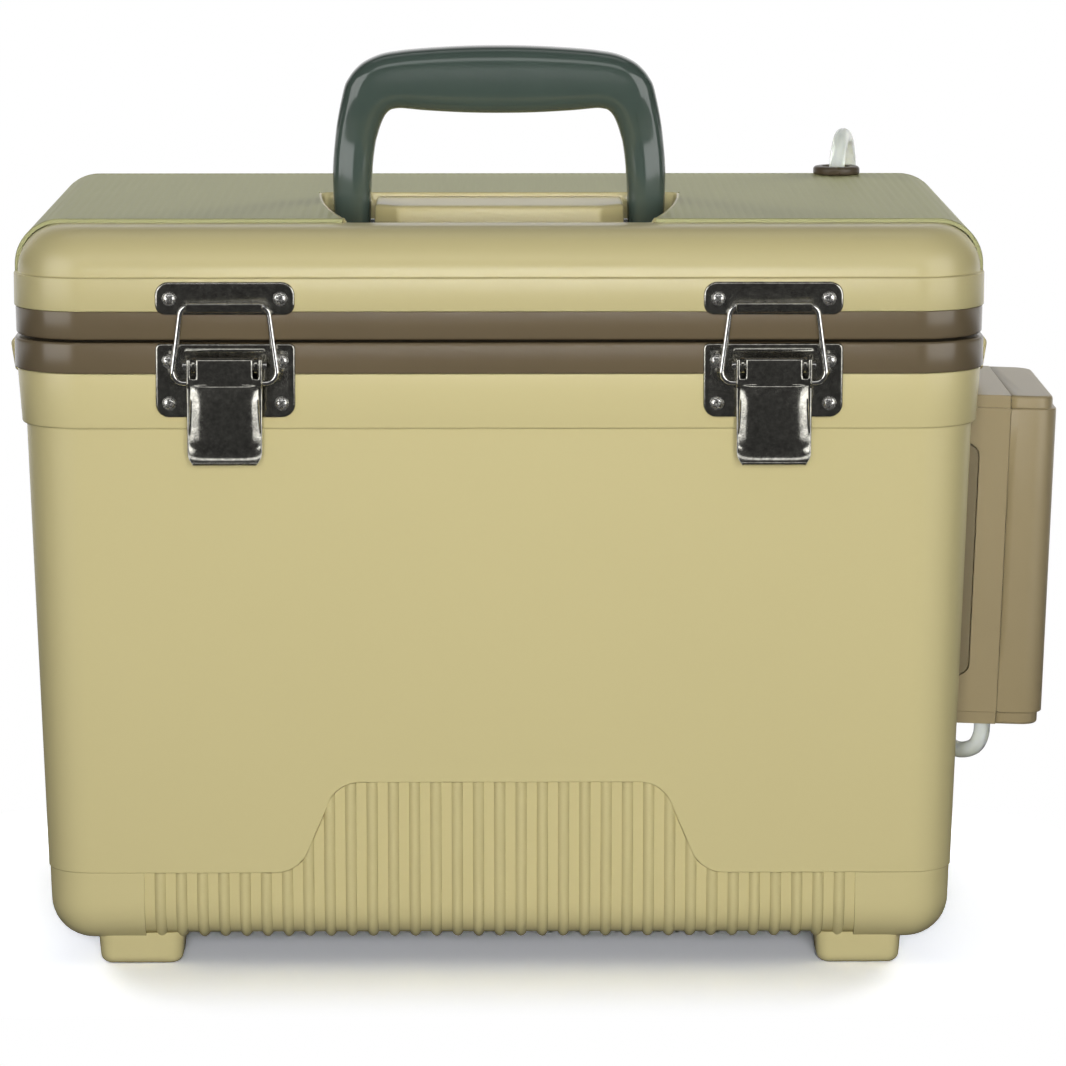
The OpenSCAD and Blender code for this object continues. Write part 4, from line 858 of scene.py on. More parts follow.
class BUCKET_OT_rims(bpy.types.Operator):
    """Moulds the two brown bands with the tub's cavity and the lid's underside"""
    bl_idname = "bucket.rims"
    bl_label = "Rim bands and liners"

    def execute(self, context):
        self.rim = Plan(BOX_W, BOX_D, CORNER_R, EVEN, EVEN, 12)
        self.mouth = Plan(CAVITY_W, CAVITY_D, CAVITY_R, EVEN, EVEN, 12)
        self.tub_liner()
        self.lid_liner()
        return {"FINISHED"}

    def tub_liner(self):
        """Rows up the cavity, over the rim band and under it back to the outer side."""
        floor_r = 7
        low = -math.tan(CAVITY_DRAFT) * (SEAM_Z - CAVITY_Z) - floor_r

        def floor(grow):
            return arc((low, CAVITY_Z + floor_r), floor_r + grow, -90, 0, 7)

        inside = np.concatenate([floor(0), [[-0.0504, SEAM_Z - 1.2], [0.25, SEAM_Z - 0.5], [0.9, SEAM_Z]]])
        ledge = SEAM_Z - LINER_T
        band = rounded_section([[-5, SEAM_Z], [0, SEAM_Z], [0, BAND_Z + 0.25], [-SHELL_T, BAND_Z + 0.25],
                                [-SHELL_T, ledge], [-12, ledge]], [0, 1.1, 0.5, 0, 0, 0])
        shell = np.concatenate([self.mouth.swept(inside), self.rim.swept(band),
                                self.mouth.swept([[LINER_T, ledge]]),
                                self.mouth.swept(floor(LINER_T)[::-1])])
        skin = Skin().body(shell)
        knuckles(skin, [s * HINGE_X + k * 13.3 for s in (-1, 1) for k in (-1, 1)], 10, -1)
        skin.piece("tub_liner_skin", "tub", "brown_liner", ("tub_liner",), FINISHES["brown"])

    def lid_liner(self):
        """Rows down round the plug, over the seal's groove and up the rim band."""
        plug_z, shut = SEAM_Z - PLUG_H, COVER_Z - 0.1
        plug = rounded_section([[-9, plug_z], [-PLUG_CLEAR - 0.6, plug_z], [-PLUG_CLEAR, LID_Z],
                                [-PLUG_CLEAR + 2, LID_Z]], [0, 1.2, 0.5, 0])
        under = [[-17, LID_Z], [-17, LID_Z + 1.5], [-10, LID_Z + 1.5], [-10, LID_Z]]
        edge = rounded_section([[-10, LID_Z], [-0.7, LID_Z], [-0.5, shut], [-4, shut], [-4, LID_Z + 4]],
                               [0, 1.3, 0.2, 0, 0])
        skin = Skin().body(np.concatenate([self.mouth.swept(plug), self.rim.swept(under),
                                           self.rim.swept(edge[1:])]))
        knuckles(skin, [-HINGE_X, HINGE_X], 16, 1)
        skin.piece("lid_liner_skin", "lid", "lid_liner", ("lid_liner",), FINISHES["brown"])


def well_half(y):
    """Half width of the handle's well at y: a parabola through its rear, middle and front."""
    y = np.asarray(y, float)
    return np.minimum(69.4 + 0.0844 * (y + 4) - 0.00085 * (y + 4) * (y + 49), 70.0)


class BUCKET_OT_lid_cover(bpy.types.Operator):
    """Moulds the lid's cover with its reeded panel, the handle's well and the island in it"""
    bl_idname = "bucket.lid_cover"
    bl_label = "Lid cover"

    def execute(self, context):
        skin = Skin()
        self.cover(skin)
        self.well(skin)
        self.island(skin)
        skin.piece("lid_cover_skin", "lid", "tan_shell", ("lid_cover",), FINISHES["lid"], sharp=30)
        panel = Skin()
        self.panel(panel)
        panel.piece("lid_panel_skin", "lid", "tan_shell", (), FINISHES["panel"], sharp=30)
        return {"FINISHED"}

    def cover(self, skin):
        """Upright strip, step, rounded top edge and flat top, open under the panel."""
        plan = Plan(BOX_W, BOX_D, CORNER_R, EVEN, EVEN, turn=18)
        base_top = LID_TOP - PANEL_RISE
        step = COVER_Z + STRIP_H
        turn = (-PANEL_RISE - LID_EDGE_R, base_top - LID_EDGE_R)
        dome = arc(turn, LID_EDGE_R, 3.5, 90, 18)
        strip = rounded_section([[-SHELL_T, COVER_Z + 6], [-SHELL_T, COVER_Z], [0, COVER_Z],
                                 [0, step], [-PANEL_RISE, step + 0.3], dome[0]],
                                [0, 0.3, 0.5, 0.45, 0.5, 0])
        inner = arc(turn, LID_EDGE_R - SHELL_T, 90, 0, 8)
        flat = -PANEL_EDGE + 0.1
        rows = np.concatenate([strip, dome, [[flat, base_top], [flat, base_top - SHELL_T]], inner])
        skin.grid(plan.swept(rows), wrap_rows=True, wrap_columns=True)

    def reeds(self):
        """Section of the panel across the lid, as points and normals: up one rounded edge,
        across and down the other, waved by the reeds along its length."""
        sizes = settings()[0]
        half, r = BOX_W / 2 - 0.3, LID_EDGE_R
        low = COVER_Z + STRIP_H - 0.4
        rise = LID_TOP - r - low
        turn = r * math.pi / 2
        flat = 2 * (half - r)
        total = 2 * (rise + turn) + flat
        count = int(total / (sizes.reed_pitch / MM))
        s = np.linspace(0, total, count * 6 + 1)
        t = np.minimum(s, total - s)
        a = np.clip((t - rise) / r, 0, math.pi / 2)
        x = half - r + r * np.cos(a) - np.maximum(t - rise - turn, 0)
        z = np.where(t < rise, low + t, LID_TOP - r + r * np.sin(a))
        side = np.where(s < total / 2, 1.0, -1.0)
        wave = sizes.reed_depth / MM * (0.5 - 0.5 * np.cos(2 * np.pi * count * s / total))
        wave *= smoothstep(t / 3.0)
        return side * x, z, side * np.cos(a), np.sin(a), wave

    def panel(self, skin):
        """The reeded panel in three strips: one behind the well, and one on each side of it."""
        x, z, nx, nz, wave = self.reeds()
        end = BOX_D / 2 - PANEL_EDGE
        bead = 1.6
        # Rows run over an end: the outer face, its rounding, the plain bead, then the reeds
        rim = np.array([[1.6, 0.0, 0.0], [0.7, 0.0, 0.0], [0.35, 0.09, 0.0], [0.1, 0.35, 0.0],
                        [0.0, 0.7, 0.0], [0.0, bead, 0.0], [0.0, bead + 0.4, 1.0],
                        [0.0, bead + 1.2, 1.0]])
        plain = np.array([[1.6, 0, 1], [0.0, 0, 1], [0.0, 0.8, 1]])

        def sheet(use, near, far, near_end, far_end):
            """The panel's strip between y = near and y = far, one value for each column."""
            first = rim if near_end else plain
            last = (rim if far_end else plain)[::-1]
            start, stop = near + first[-1, 1], far - last[0, 1]
            t = np.linspace(0, 1, 8)[1:-1, None]
            along = np.concatenate([near + first[:, 1:2], start + (stop - start) * t,
                                    far - last[:, 1:2]])
            rows = np.concatenate([first, np.tile([0.0, 0.0, 1.0], (6, 1)), last])
            drop = rows[:, :1] + rows[:, 2:] * wave[use]
            top = np.stack([x[use] - nx[use] * drop, along + 0 * drop, z[use] - nz[use] * drop], -1)
            skin.body(top.transpose(1, 0, 2))

        lip = 0.8
        crossing = np.abs(x)
        every = np.ones(len(x), bool)
        rear = WELL_REAR + lip
        sheet(every, np.full(len(x), rear), np.full(len(x), end), False, True)
        # In front of that the strips stop at the well's lip
        ys = np.linspace(-end, WELL_REAR, 60)
        widths = well_half(ys) + lip
        for sign in (-1, 1):
            use = (np.sign(x) == sign) & (crossing >= widths.min())
            far = np.interp(crossing[use], widths, ys)
            far = np.where(crossing[use] >= widths.max(), rear, far)
            sheet(use, np.full(use.sum(), -end), far, True, False)

    def well_outline(self):
        """The well seen from above, anticlockwise: both sides bow, and the corners are round."""
        front = BOX_D / 2 - PANEL_EDGE
        ys = np.linspace(-front + 5, WELL_REAR - 4, 24)
        right = np.stack([well_half(ys), ys], 1)
        rear = arc((well_half(WELL_REAR) - 4, WELL_REAR - 4), 4, 0, 90, 6)
        corner = arc((well_half(-front + 6) - 6, -front + 6), 6, -90, -8, 6)
        half = np.concatenate([corner, right[1:], rear[1:]])
        return np.concatenate([half, (half * [-1, 1])[::-1]])

    def well(self, skin):
        """Walls and floor of the well: its outline carried over the lip, down the wall and
        round the fillet at the floor, with the same outline outside."""
        outline = self.well_outline()
        front = BOX_D / 2 - PANEL_EDGE
        base_top = LID_TOP - PANEL_RISE
        rows = [[-0.8, -(LID_TOP - WELL_Z) - 2.4], [-0.8, -0.9], [-0.8, -0.05], [-0.35, 0.0],
                [-0.05, -0.12], [0.2, -0.45], [0.3, -0.95], [0.45, -6.0], [0.9, -(LID_TOP - WELL_Z) + 3.2]]
        fillet = arc((4.1, 3.2), 3.2, 180, 270, 5) - [0, LID_TOP - WELL_Z]
        rows = np.array(rows + fillet[1:].tolist())
        high = np.where(outline[:, 1] < -front + 2.5, base_top, LID_TOP)
        share = np.clip((rows[:, 1] + 8) / 8, 0, 1)[:, None]
        z = LID_TOP + rows[:, 1:] + share * (high - LID_TOP)
        points = raised(outline, rows)
        points[..., 2] = z
        skin.body(points)

    def island(self, skin):
        """The block between the handle's legs: its outline from the floor's fillet up."""
        half, front, b = ISLAND_W / 2, -ISLAND_FRONT, ISLAND_BEVEL
        outline = closed_outline([[-half, 14], [-half, front + b], [-half + b, front], [half - b, front],
                                  [half, front + b], [half, 14]], [0.2, 3, 3, 3, 3, 0.2], 5)
        top = LID_TOP - PANEL_RISE
        foot = arc((-2.2, WELL_Z + 2.2), 2.2, 270, 360, 4)
        head = arc((1.9, top - 1.6), 1.6, 180, 90, 5)
        rows = np.concatenate([[[-2.2, WELL_Z - 1]], foot, head])
        skin.body(raised(outline, rows))


class BUCKET_OT_handle(bpy.types.Operator):
    """Sweeps the carrying handle from one pivot over the grip to the other"""
    bl_idname = "bucket.handle"
    bl_label = "Handle"

    def execute(self, context):
        """The outer and the inner outline of one half, seen from the front, are walked
        together from the foot to the middle of the grip: every section spans from one to the
        other. Both are mirrored, and the feet shrink as a circle does round the pivots."""
        outer = [[64.3, 0], [64.6, 12], [64.7, 23], [63.6, 35.5], [62.7, 41.8], [61.5, 48],
                 [60, 54.2], [58.4, 57.3], [56.1, 60.4], [52.2, 63.7], [45.8, 66.5], [38.6, 67.8],
                 [30.8, 68.6], [20, 69.3], [10, 69.7], [0, 69.8]]
        inner = [[49.9, 0], [49.7, 12], [49.1, 23], [47.9, 32], [47.0, 35.5], [45.9, 39],
                 [44.7, 41.8], [43.8, 43.3], [42.8, 44.4], [41.4, 45.2], [38.4, 45.6], [34.5, 45.3],
                 [29.5, 44.8], [20, 44.2], [10, 43.8], [0, 43.7]]
        foot_r = 7.8
        drop = foot_r * np.sin(np.radians(np.linspace(88, 0, 9)))[:-1]
        rims = []
        for rim in (outer, inner):
            rise = smooth_line(np.insert(np.array(rim), 1, 0.0, axis=1), [0, 0, 1], [-1, 0, 0], 4)
            foot = np.stack([np.full(8, rim[0][0]), 0 * drop, -drop], 1)
            half = np.concatenate([foot, rise])
            rims.append(np.concatenate([half, (half[:-1] * [-1, 1, 1])[::-1]]))
        middle, reach = (rims[0] + rims[1]) / 2, (rims[0] - rims[1]) / 2
        tuck = np.sqrt(np.clip(1 - (np.minimum(middle[:, 2], 0) / foot_r) ** 2, 0.0004, 1))
        swell = smoothstep((middle[:, 2] - 28) / 28)
        deep = (8.0 + 2.5 * swell) * tuck
        u, v = squared(48, 0.62)
        points = middle[:, None] + reach[:, None] * (u * (1 - 0.08 * (1 - tuck[:, None])))[..., None]
        # The legs' faces are turned outwards: their depth falls towards the outer edge
        fall = 0.3 * (1 - swell[:, None]) * np.clip((u + 0.25) / 1.25, 0, 1)
        points[..., 1] += v * (1 - fall) * deep[:, None]
        points += [0, HANDLE_Y, PIVOT_Z]
        Skin().body(points).piece(
            "handle_skin", "handle", "handle_plastic", ("handle",), FINISHES["handle"], sharp=60)
        return {"FINISHED"}


def screw_head(x, z, turn):
    """A pan head on a plate: a dome with a cross pressed into it, four wedges whose depth
    falls off towards the rim."""
    r, h = SCREW_PROFILE[:, :1], SCREW_PROFILE[:, 1:]
    fine = np.radians([-45, -28, -16, -11, 0, 11, 16, 28])
    a = (np.arange(4)[:, None] * math.pi / 2 + fine).ravel() + turn
    arm = np.tile([0.0, 0, 0, 1, 1, 1, 0, 0], 4)
    deep = CROSS_DEPTH * arm * smoothstep((1.75 - r) / 0.35)
    deep = np.where(r < 0.4, CROSS_DEPTH, deep)
    return np.stack([x + r * np.cos(a), -BOX_D / 2 - PLATE_T - (h - deep), z + r * np.sin(a)], -1)


def facing_front(points):
    """From [away from the front, height, along X] to the bucket's frame."""
    return np.stack([points[..., 2], -BOX_D / 2 - points[..., 0], points[..., 1]], -1)


class BUCKET_OT_latches(bpy.types.Operator):
    """Presses the latches: plates, strikes, levers, wire bails and their screws"""
    bl_idname = "bucket.latches"
    bl_label = "Latches"

    def execute(self, context):
        screws, strike_screws = Skin(), Skin()
        for side, label in ((-1, "left"), (1, "right")):
            middle = side * LATCH_X
            at = [middle, 0, 0]
            self.base(at, label)
            self.strike(at, label)
            self.lever(at, label)
            self.bail(at, label)
            for k in (-1, 1):
                for n, below in enumerate(BASE_SCREWS):
                    screws.body(screw_head(middle + k * BASE_SCREW_X, SEAM_Z - below, 0.3 + n + k))
                strike_screws.body(
                    screw_head(middle + k * STRIKE_SCREW_X, COVER_Z + 5, 0.2 + k))
        for skin, name, body, node in ((screws, "base_screw_heads", "tub", "latch_base_screws"),
                                       (strike_screws, "strike_screw_heads", "lid", "strike_screws")):
            skin.piece(name, body, "screw_steel", (node,), FINISHES["screw"], sharp=28)
        return {"FINISHED"}

    def plate(self, skin, at, height, low, lower_r, upper_r):
        """A pressed plate: a rounded outline whose front rim rolls back by the plate edge."""
        w, e = PLATE_W / 2, settings()[0].plate_edge / MM
        outline = closed_outline([[-w, low], [w, low], [w, low + height], [-w, low + height]],
                                 [lower_r, lower_r, upper_r, upper_r], 7)
        front = -BOX_D / 2 - PLATE_T
        roll = arc((e, -e), e, 180, 90, 5)
        rows = np.concatenate([[[0, front + PLATE_T + 0.1]], np.stack([roll[:, 0], front - roll[:, 1]], 1),
                               [[2.2, front], [2.7, front + 0.12]]])
        skin.body(turned_to(raised(outline, rows), ("x", "z", "y")) + at)

    def base(self, at, label):
        """The tub's plate with the lever's two ears and a pressed ridge over its hinge."""
        skin = Skin()
        self.plate(skin, at, BASE_H, SEAM_Z - BASE_H, 5, 2.2)
        nose = arc((LEVER_OUT - 0.4, LEVER_Z), EYE_R, -90, 90, 12)
        outline = np.concatenate([nose, [[1.0, LEVER_Z + EYE_R], [1.0, LEVER_Z - EYE_R]]])
        for x in (-EAR_X, EAR_X):
            skin.body(facing_front(raised(outline, edge_rows(x - 0.75, x + 0.75, 0.25, 2))) + at)
        ridge = closed_outline([[-15.5, 236.2], [15.5, 236.2], [14.5, 238.0], [-14.5, 238.0]], 0.8, 3)
        front = -BOX_D / 2 - PLATE_T
        rows = [[0, front + 0.2], [0.15, front - 0.35], [0.55, front - 0.6]]
        skin.body(turned_to(raised(ridge, rows), ("x", "z", "y")) + at)
        skin.piece("latch_plate_" + label, "tub", "latch_steel", ("latch_base_" + label,),
                   FINISHES["nickel"])

    def strike(self, at, label):
        """The lid's plate, whose middle is folded out into a shelf with a raised lip."""
        skin = Skin()
        self.plate(skin, at, STRIKE_H, COVER_Z - 1.1, 4, 5)
        bar_z = BAIL_Z + math.sqrt(BAIL_L ** 2 - BAR_IN ** 2)
        shelf, lip = bar_z - WIRE_R - 0.3, LEVER_OUT - BAR_IN + 0.9
        fold = rounded_section(
            [[PLATE_T - 0.2, shelf], [lip, shelf], [lip + 1.7, shelf + 2.7], [lip + 2.75, shelf + 2.1],
             [lip + 0.8, shelf - PLATE_T], [PLATE_T - 0.2, shelf - PLATE_T]],
            [0, 0.8, 0.35, 0.35, 1.4, 0], 4)[::-1]
        skin.body(facing_front(raised(fold, edge_rows(-14, 14, 0.5))) + at)
        skin.piece("strike_plate_" + label, "lid", "latch_steel", ("strike_" + label,),
                   FINISHES["nickel"])

    def lever(self, at, label):
        """A channel of sheet: across it run the front, a step back, a rounded corner and the
        flange's edge. Down it the flanges shorten, the front swells into the thumb pad, which
        widens as it falls, and the foot curls forward. Slots in the hinge end let the plate's
        ears through."""
        top, knee, foot = LEVER_Z + EYE_R, LEVER_Z - 6.6, LEVER_Z - LEVER_DROP
        z = np.concatenate([[top, top - 0.25, top - 0.8], np.linspace(top - 1.6, LEVER_Z - 4.5, 6),
                            np.linspace(LEVER_Z - 5.0, knee + 0.4, 4), np.linspace(knee, knee - 2.4, 9),
                            np.linspace(knee - 3.4, foot + 9, 14), np.linspace(foot + 8, foot + 0.4, 16)])
        hinge = smoothstep((z - (knee - 2.0)) / 2.2)
        down = np.clip((knee - z) / (knee - foot), 0, 1)
        half = LEVER_HALF * hinge + (1 - hinge) * (LEVER_HALF - 0.35 * down)
        c = 0.75 - 0.45 * smoothstep(down)
        pad_half = 12.65 * hinge + (1 - hinge) * np.minimum(12.3 + 1.0 * down, half - c - 0.35)
        curl = np.clip((foot + 7 - z) / 7, 0, 1.1)
        face = LEVER_OUT + 3.8 + 3.0 * curl ** 2
        face[:3] = LEVER_OUT + 3.8 - np.array([1.1, 0.4, 0.08])
        back_round = LEVER_OUT - np.sqrt(np.maximum(3.6 ** 2 - np.maximum(z - LEVER_Z, 0) ** 2, 0))
        flange = hinge * (face - back_round) + (1 - hinge) * (4.2 - 3.4 * smoothstep(down / 0.8))
        pad = smoothstep((knee - z) / 1.2)
        step = 0.95 * pad * (1 - smoothstep(down / 0.95))
        across = np.concatenate([np.linspace(0, 9.6, 11), [10.35, 11.6, 12.65]]) / 12.65
        front_x = np.concatenate([-across[::-1], across[1:]])
        x = front_x * pad_half[:, None]
        swelling = (0.5 * smoothstep((knee - z) / 0.6)
                    + 1.3 * np.sin(np.clip((knee - z) / 9.0, 0, 1) * math.pi / 2))
        swelling *= smoothstep((z - foot - 1.0) / 8.0)
        depth = face[:, None] + swelling[:, None] * (1 - np.abs(front_x) ** 5.0)
        mid = np.stack([x, depth, z[:, None] + 0 * x], -1)
        edge = np.stack([pad_half + 0.25 * pad, face - step, z], -1)[:, None]
        corner = np.radians(np.linspace(90, 0, 6))
        low = (face - step - c)[:, None]
        bend = np.stack([(half - c)[:, None] + c[:, None] * np.cos(corner),
                         low + c[:, None] * np.sin(corner), z[:, None] + 0 * corner], -1)
        reach = np.linspace(0, 1, 6)[1:]
        wing_y = low - reach * np.maximum(flange - c - step, 0.3)[:, None]
        wing = np.stack([half[:, None] + 0 * reach, wing_y, z[:, None] + 0 * reach], -1)
        side = np.concatenate([edge, bend, wing], 1)
        sheet = np.concatenate([side[:, ::-1] * [-1, 1, 1], mid, side], 1)
        middle_x = (sheet[0, :-1, 0] + sheet[0, 1:, 0]) / 2
        middle_z = (z[:-1] + z[1:]) / 2
        slot = (np.abs(np.abs(middle_x) - EAR_X)[None] < 1.1) & (middle_z[:, None] > LEVER_Z - 4.6)
        # Rounded lower corners: the foot closes in over its last millimetres
        draw = 1 - 0.15 * np.clip((foot + 4.0 - z) / 4.0, 0, 1) ** 2
        sheet[..., 0] *= draw[:, None]
        points = sheet * [1, -1, 1] + [0, -BOX_D / 2, 0] + at
        Skin().grid(points, keep=~slot).piece(
            "latch_lever_" + label, "lever_" + label, "latch_steel", ("lever_" + label,),
            FINISHES["nickel"], wall=1.1, sharp=45)

    def bail(self, at, label):
        """A wire loop: from its turned-in ends round two corners, up the leaning legs, round
        two more and along the bar, all tilted back onto the strike."""
        r = 4.0
        lean = math.degrees(math.atan2((BAIL_W - BAIL_TOP_W) / 2, BAIL_L))
        foot = (BAIL_W / 2 - r * math.tan(math.radians(45 + lean / 2)), r)
        head = (BAIL_TOP_W / 2 - r * math.tan(math.radians(45 - lean / 2)), BAIL_L - r)
        half = np.concatenate([[[12.5, 0], [13.6, 0]], arc(foot, r, -90, lean, 10),
                               arc(head, r, lean, 90, 10), [[6, BAIL_L], [0, BAIL_L]]])
        loop = np.concatenate([half, (half[:-1] * [-1, 1])[::-1]])
        tilt = math.asin(BAR_IN / BAIL_L)
        path = np.stack([loop[:, 0], -BOX_D / 2 - LEVER_OUT + loop[:, 1] * math.sin(tilt),
                         BAIL_Z + loop[:, 1] * math.cos(tilt)], 1) + at
        points = carried(path, np.tile([0.0, 1.0, 0.0], (len(path), 1)), WIRE_R, 16)
        Skin().body(points).piece("latch_bail_" + label, "bail_" + label, "bail_wire",
                                  ("bail_" + label,), FINISHES["wire"], sharp=60)


class BUCKET_OT_pump(bpy.types.Operator):
    """Moulds the pump's outer half, open towards its seam and slotted for the switch"""
    bl_idname = "bucket.pump"
    bl_label = "Pump cover"

    def execute(self, context):
        """The plan of the case, inset by each row: up over the bottom cap, the step, the body,
        the upper step and the top cap, whose rims are rounded."""
        cap = PUMP_H / 2
        step = cap - CAP_H
        low = rounded_section([[CAP_INSET + 3, -cap], [CAP_INSET, -cap], [CAP_INSET, -step],
                               [0, -step], [0, SWITCH_Z - SWITCH_W / 2]], [0, 1.3, 0.5, 0.6, 0])
        slot = np.array([[0, SWITCH_Z], [0, SWITCH_Z + SWITCH_W / 2], [0, 20]])
        high = rounded_section([[0, 20], [0, step], [CAP_INSET, step], [CAP_INSET, cap],
                                [CAP_INSET + 3, cap]], [0, 0.6, 0.5, 1.6, 0], 5)
        rows = np.concatenate([low, slot, high[1:]])
        ys = np.concatenate([[-36, -20, -10], [-SWITCH_H / 2, 0, SWITCH_H / 2], [10, 20, 36]])
        corner = np.radians(np.linspace(0, 90, 9))
        inset = rows[:, :1]
        r = CASE_R - inset
        half = PUMP_W / 2 - inset
        front = PUMP_T - inset
        seam = PUMP_SEAM + 0.1
        side_x = np.linspace(seam, PUMP_T - CASE_R, 4)[:-1]
        cx, cy = front - r, half - r
        turn_x, turn_y = cx + r * np.sin(corner), cy + r * np.cos(corner)
        xs = np.concatenate([side_x + 0 * r, turn_x, front + 0 * ys, turn_x[:, ::-1],
                             side_x[::-1] + 0 * r], 1)
        yy = np.concatenate([-half + 0 * side_x, -turn_y, ys + 0 * inset, turn_y[:, ::-1],
                             half + 0 * side_x], 1)
        points = np.stack([xs, yy, rows[:, 1:] + 0 * xs], -1)
        mid_y = (yy[0, :-1] + yy[0, 1:]) / 2
        mid_z = (rows[:-1, 1] + rows[1:, 1]) / 2
        hole = ((np.abs(mid_y)[None] < SWITCH_H / 2)
                & (np.abs(mid_z - SWITCH_Z)[:, None] < SWITCH_W / 2))
        Skin().grid(on_pump(points), caps=True, keep=~hole).piece(
            "pump_cover_skin", "pump_cover", "pump_plastic", ("pump_cover",), FINISHES["pump"],
            wall=CASE_T, sharp=32)
        return {"FINISHED"}


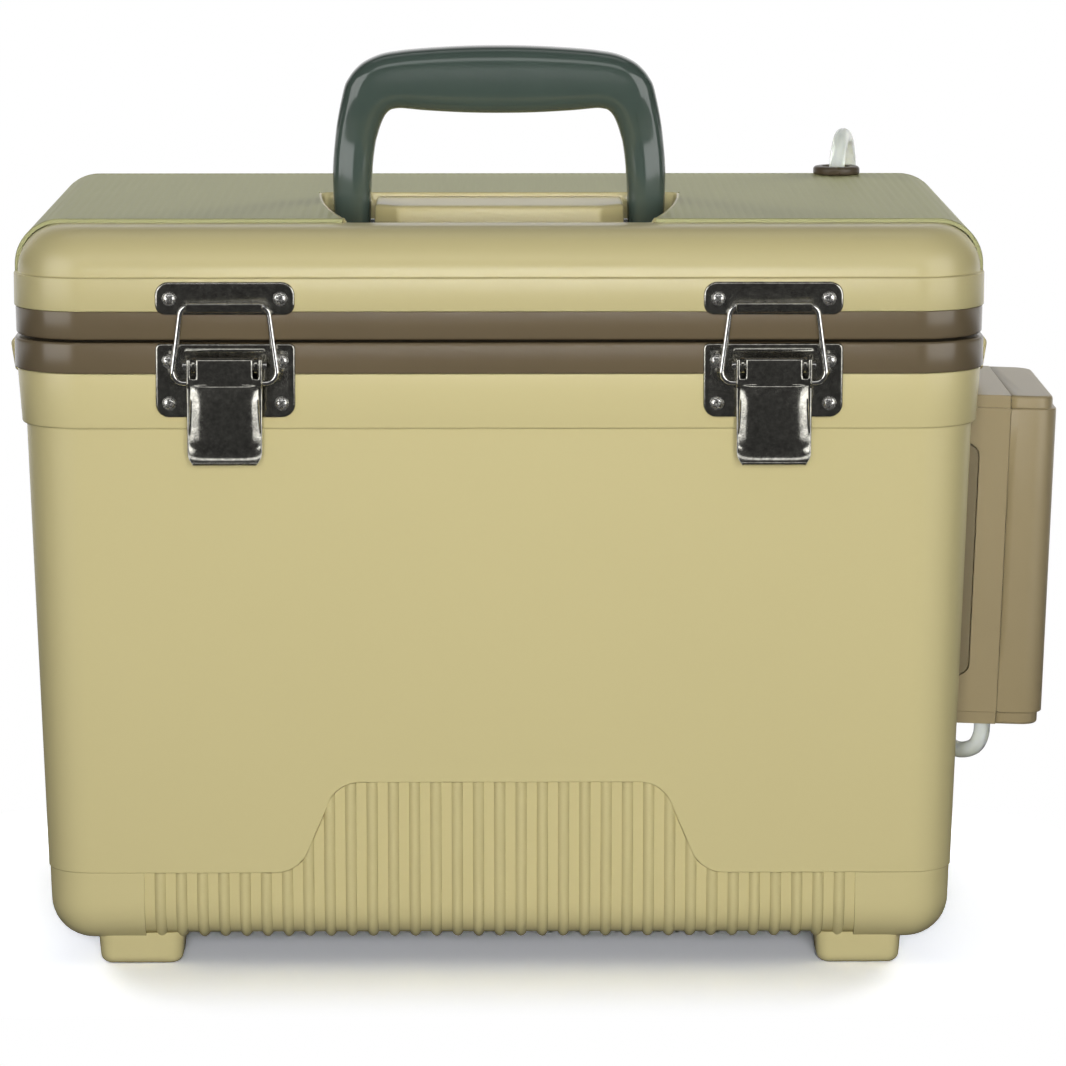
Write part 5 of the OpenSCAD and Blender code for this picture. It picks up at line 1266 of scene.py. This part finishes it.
class BUCKET_OT_stage(bpy.types.Operator):
    """Sets the camera, the floor, the surroundings and the lamps"""
    bl_idname = "bucket.stage"
    bl_label = "Stage"

    def execute(self, context):
        stage = settings()[2]
        scene = bpy.context.scene
        scene.view_settings.view_transform = "Standard"
        camera = bpy.data.objects.new("camera", bpy.data.cameras.new("camera"))
        camera.data.sensor_width = 36
        camera.data.lens = stage.lens
        camera.location = CAMERA_AT
        camera.rotation_euler = (math.radians(90 - CAMERA_DOWN), 0, math.radians(CAMERA_TURN))
        camera.data.clip_start, camera.data.clip_end = 0.05, 100
        scene.collection.objects.link(camera)
        scene.camera = camera
        self.floor()
        self.world(stage.ambient)
        # Lamps that light the object, and boxes that only its gloss shows
        sides = (-1, 1)
        lights = [self.lamp("key", (0.05, -2.4, 0.5), (0, 0, 0.4), 0.6, 0.5, stage.key)]
        lights += [self.lamp("rear", (k * 1.5, 1.9, 0.9), (0, 0, 0.15), 0.9, 0.9, stage.rear)
                   for k in sides]
        for light in lights:
            light.data.spread = math.radians(75)
            light.visible_glossy = False
        boxes = [self.lamp("side", (k * 1.3, -1.15, 0.6), (0, 0, 0.2), 1.4, 1.3, stage.side)
                 for k in sides]
        boxes.append(self.lamp("strip", (0, -1.6, 1.5), (0, 0, 0.2), 1.5, 0.5, stage.strip))
        for box in boxes:
            box.visible_diffuse = False
        self.lamp("top", (0, 0.4, 1.9), (0, 0, 0.2), 1.7, 0.6, stage.top)
        return {"FINISHED"}

    def floor(self):
        """A wide sheet of paper. It keeps the shadow by the object's foot and is white away
        from it; in the gloss it is dark in front, as a studio is."""
        mesh = bpy.data.meshes.new("floor")
        r = FLOOR_HALF
        mesh.from_pydata([(-r, -r, 0), (r, -r, 0), (r, r, 0), (-r, r, 0)], [], [(0, 1, 2, 3)])
        floor = bpy.data.objects.new("floor", mesh)
        bpy.context.scene.collection.objects.link(floor)
        paper = bpy.data.materials.new("floor_paper")
        paper.use_nodes = True
        tree = paper.node_tree
        tree.nodes.clear()
        place = add_node(tree, "TexCoord", {})["Object"]
        # Distance from the object's foot: the length of max(|place| - half size, 0)
        away = add_node(tree, "VectorMath", {0: place}, operation="ABSOLUTE")["Vector"]
        away = add_node(tree, "VectorMath", {0: away, 1: FOOT_HALF}, operation="SUBTRACT")["Vector"]
        away = add_node(tree, "VectorMath", {0: away, 1: (0, 0, 0)}, operation="MAXIMUM")["Vector"]
        away = add_node(tree, "VectorMath", {0: away}, operation="LENGTH")["Value"]
        far = self.ramp(tree, away, 0.01, 0.08, 0.0, 1.0)
        front = self.ramp(tree, add_node(tree, "SeparateXYZ", {0: place})["Y"], 0.2, 1.5, 0.06, 1.0)
        white = add_node(tree, "VectorMath", {0: PAPER_TINT, "Scale": self.by_ray(tree, 0.1, 1.6, 0.9)},
                         operation="SCALE")["Vector"]
        dull = add_node(tree, "BsdfDiffuse", {"Color": white})[0]
        glow = add_node(tree, "Emission", {"Strength": self.by_ray(tree, 0.0, 1.0, front)})[0]
        share = self.by_ray(tree, 0.0, far, 1.0)
        mix = add_node(tree, "MixShader", {"Fac": share, 1: dull, 2: glow})[0]
        add_node(tree, "OutputMaterial", {"Surface": mix})
        mesh.materials.append(paper)

    def ramp(self, tree, source, start, end, low, high):
        """A value that goes smoothly from low to high as the source goes from start to end."""
        return add_node(tree, "MapRange", {
            "Value": source, "From Min": start, "From Max": end, "To Min": low, "To Max": high},
            interpolation_type="SMOOTHSTEP")["Result"]

    def by_ray(self, tree, other, seen, gloss):
        """A value by the kind of ray: seen directly or through something clear, in a gloss, or
        by any other ray."""
        path = add_node(tree, "LightPath", {})
        clear = add_node(tree, "Math", {0: path["Is Camera Ray"], 1: path["Is Transmission Ray"]},
                         operation="MAXIMUM")[0]
        value = other
        for kind, share in ((path["Is Glossy Ray"], gloss), (clear, seen)):
            value = add_node(tree, "Mix", {"Factor": kind, "A": value, "B": share})["Result"]
        return value

    def world(self, ambient):
        """White where it is seen, plain for the light, and dark in front in the gloss, where
        a studio has nothing but its lamps."""
        world = bpy.data.worlds.new("surroundings")
        bpy.context.scene.world = world
        world.use_nodes = True
        tree = world.node_tree
        tree.nodes.clear()
        place = add_node(tree, "TexCoord", {})["Generated"]
        front = self.ramp(tree, add_node(tree, "SeparateXYZ", {0: place})["Y"], 0.5, 0.95, 0.06, 0.85)
        light = add_node(tree, "Background", {
            "Color": (1, 1, 1, 1), "Strength": self.by_ray(tree, ambient, 1.0, front)})[0]
        add_node(tree, "OutputWorld", {"Surface": light})

    def lamp(self, name, at, to, width, height, power):
        """A flat rectangular lamp, aimed at a point."""
        lamp = bpy.data.lights.new(name, "AREA")
        lamp.shape = "RECTANGLE"
        lamp.size, lamp.size_y = width, height
        lamp.energy = power
        made = bpy.data.objects.new(name, lamp)
        aim = np.array(to) - np.array(at)
        made.rotation_euler = Vector(aim.tolist()).to_track_quat("-Z", "Y").to_euler()
        made.location = at
        bpy.context.scene.collection.objects.link(made)
        return made


class BUCKET_PT_panel(bpy.types.Panel):
    """Lists the bucket's settings and its pieces"""
    bl_idname = "BUCKET_PT_panel"
    bl_label = "Bait bucket"
    bl_space_type = "VIEW_3D"
    bl_region_type = "UI"
    bl_category = "Bait bucket"

    def draw(self, context):
        scene = context.scene
        for group in (scene.bucket_sizes, scene.bucket_colours, scene.bucket_stage):
            box = self.layout.box()
            for name in group.__annotations__:
                box.prop(group, name)
        for operator in OPERATORS:
            self.layout.operator(operator.bl_idname)


OPERATORS = (BUCKET_OT_stage, BUCKET_OT_finishes, BUCKET_OT_air_tube, BUCKET_OT_tub_shell,
             BUCKET_OT_rims, BUCKET_OT_lid_cover, BUCKET_OT_handle, BUCKET_OT_latches, BUCKET_OT_pump)
CLASSES = (BucketSizes, BucketColours, BucketStage, *OPERATORS, BUCKET_PT_panel)


def register():
    for cls in CLASSES:
        bpy.utils.register_class(cls)
    bpy.types.Scene.bucket_sizes = PointerProperty(type=BucketSizes)
    bpy.types.Scene.bucket_colours = PointerProperty(type=BucketColours)
    bpy.types.Scene.bucket_stage = PointerProperty(type=BucketStage)


def unregister():
    del bpy.types.Scene.bucket_stage
    del bpy.types.Scene.bucket_colours
    del bpy.types.Scene.bucket_sizes
    for cls in reversed(CLASSES):
        bpy.utils.unregister_class(cls)


def main():
    """Makes the stage, the finishes and every piece."""
    register()
    for operator in OPERATORS:
        group, name = operator.bl_idname.split(".")
        getattr(getattr(bpy.ops, group), name)()


if __name__ == "__main__":
    main()
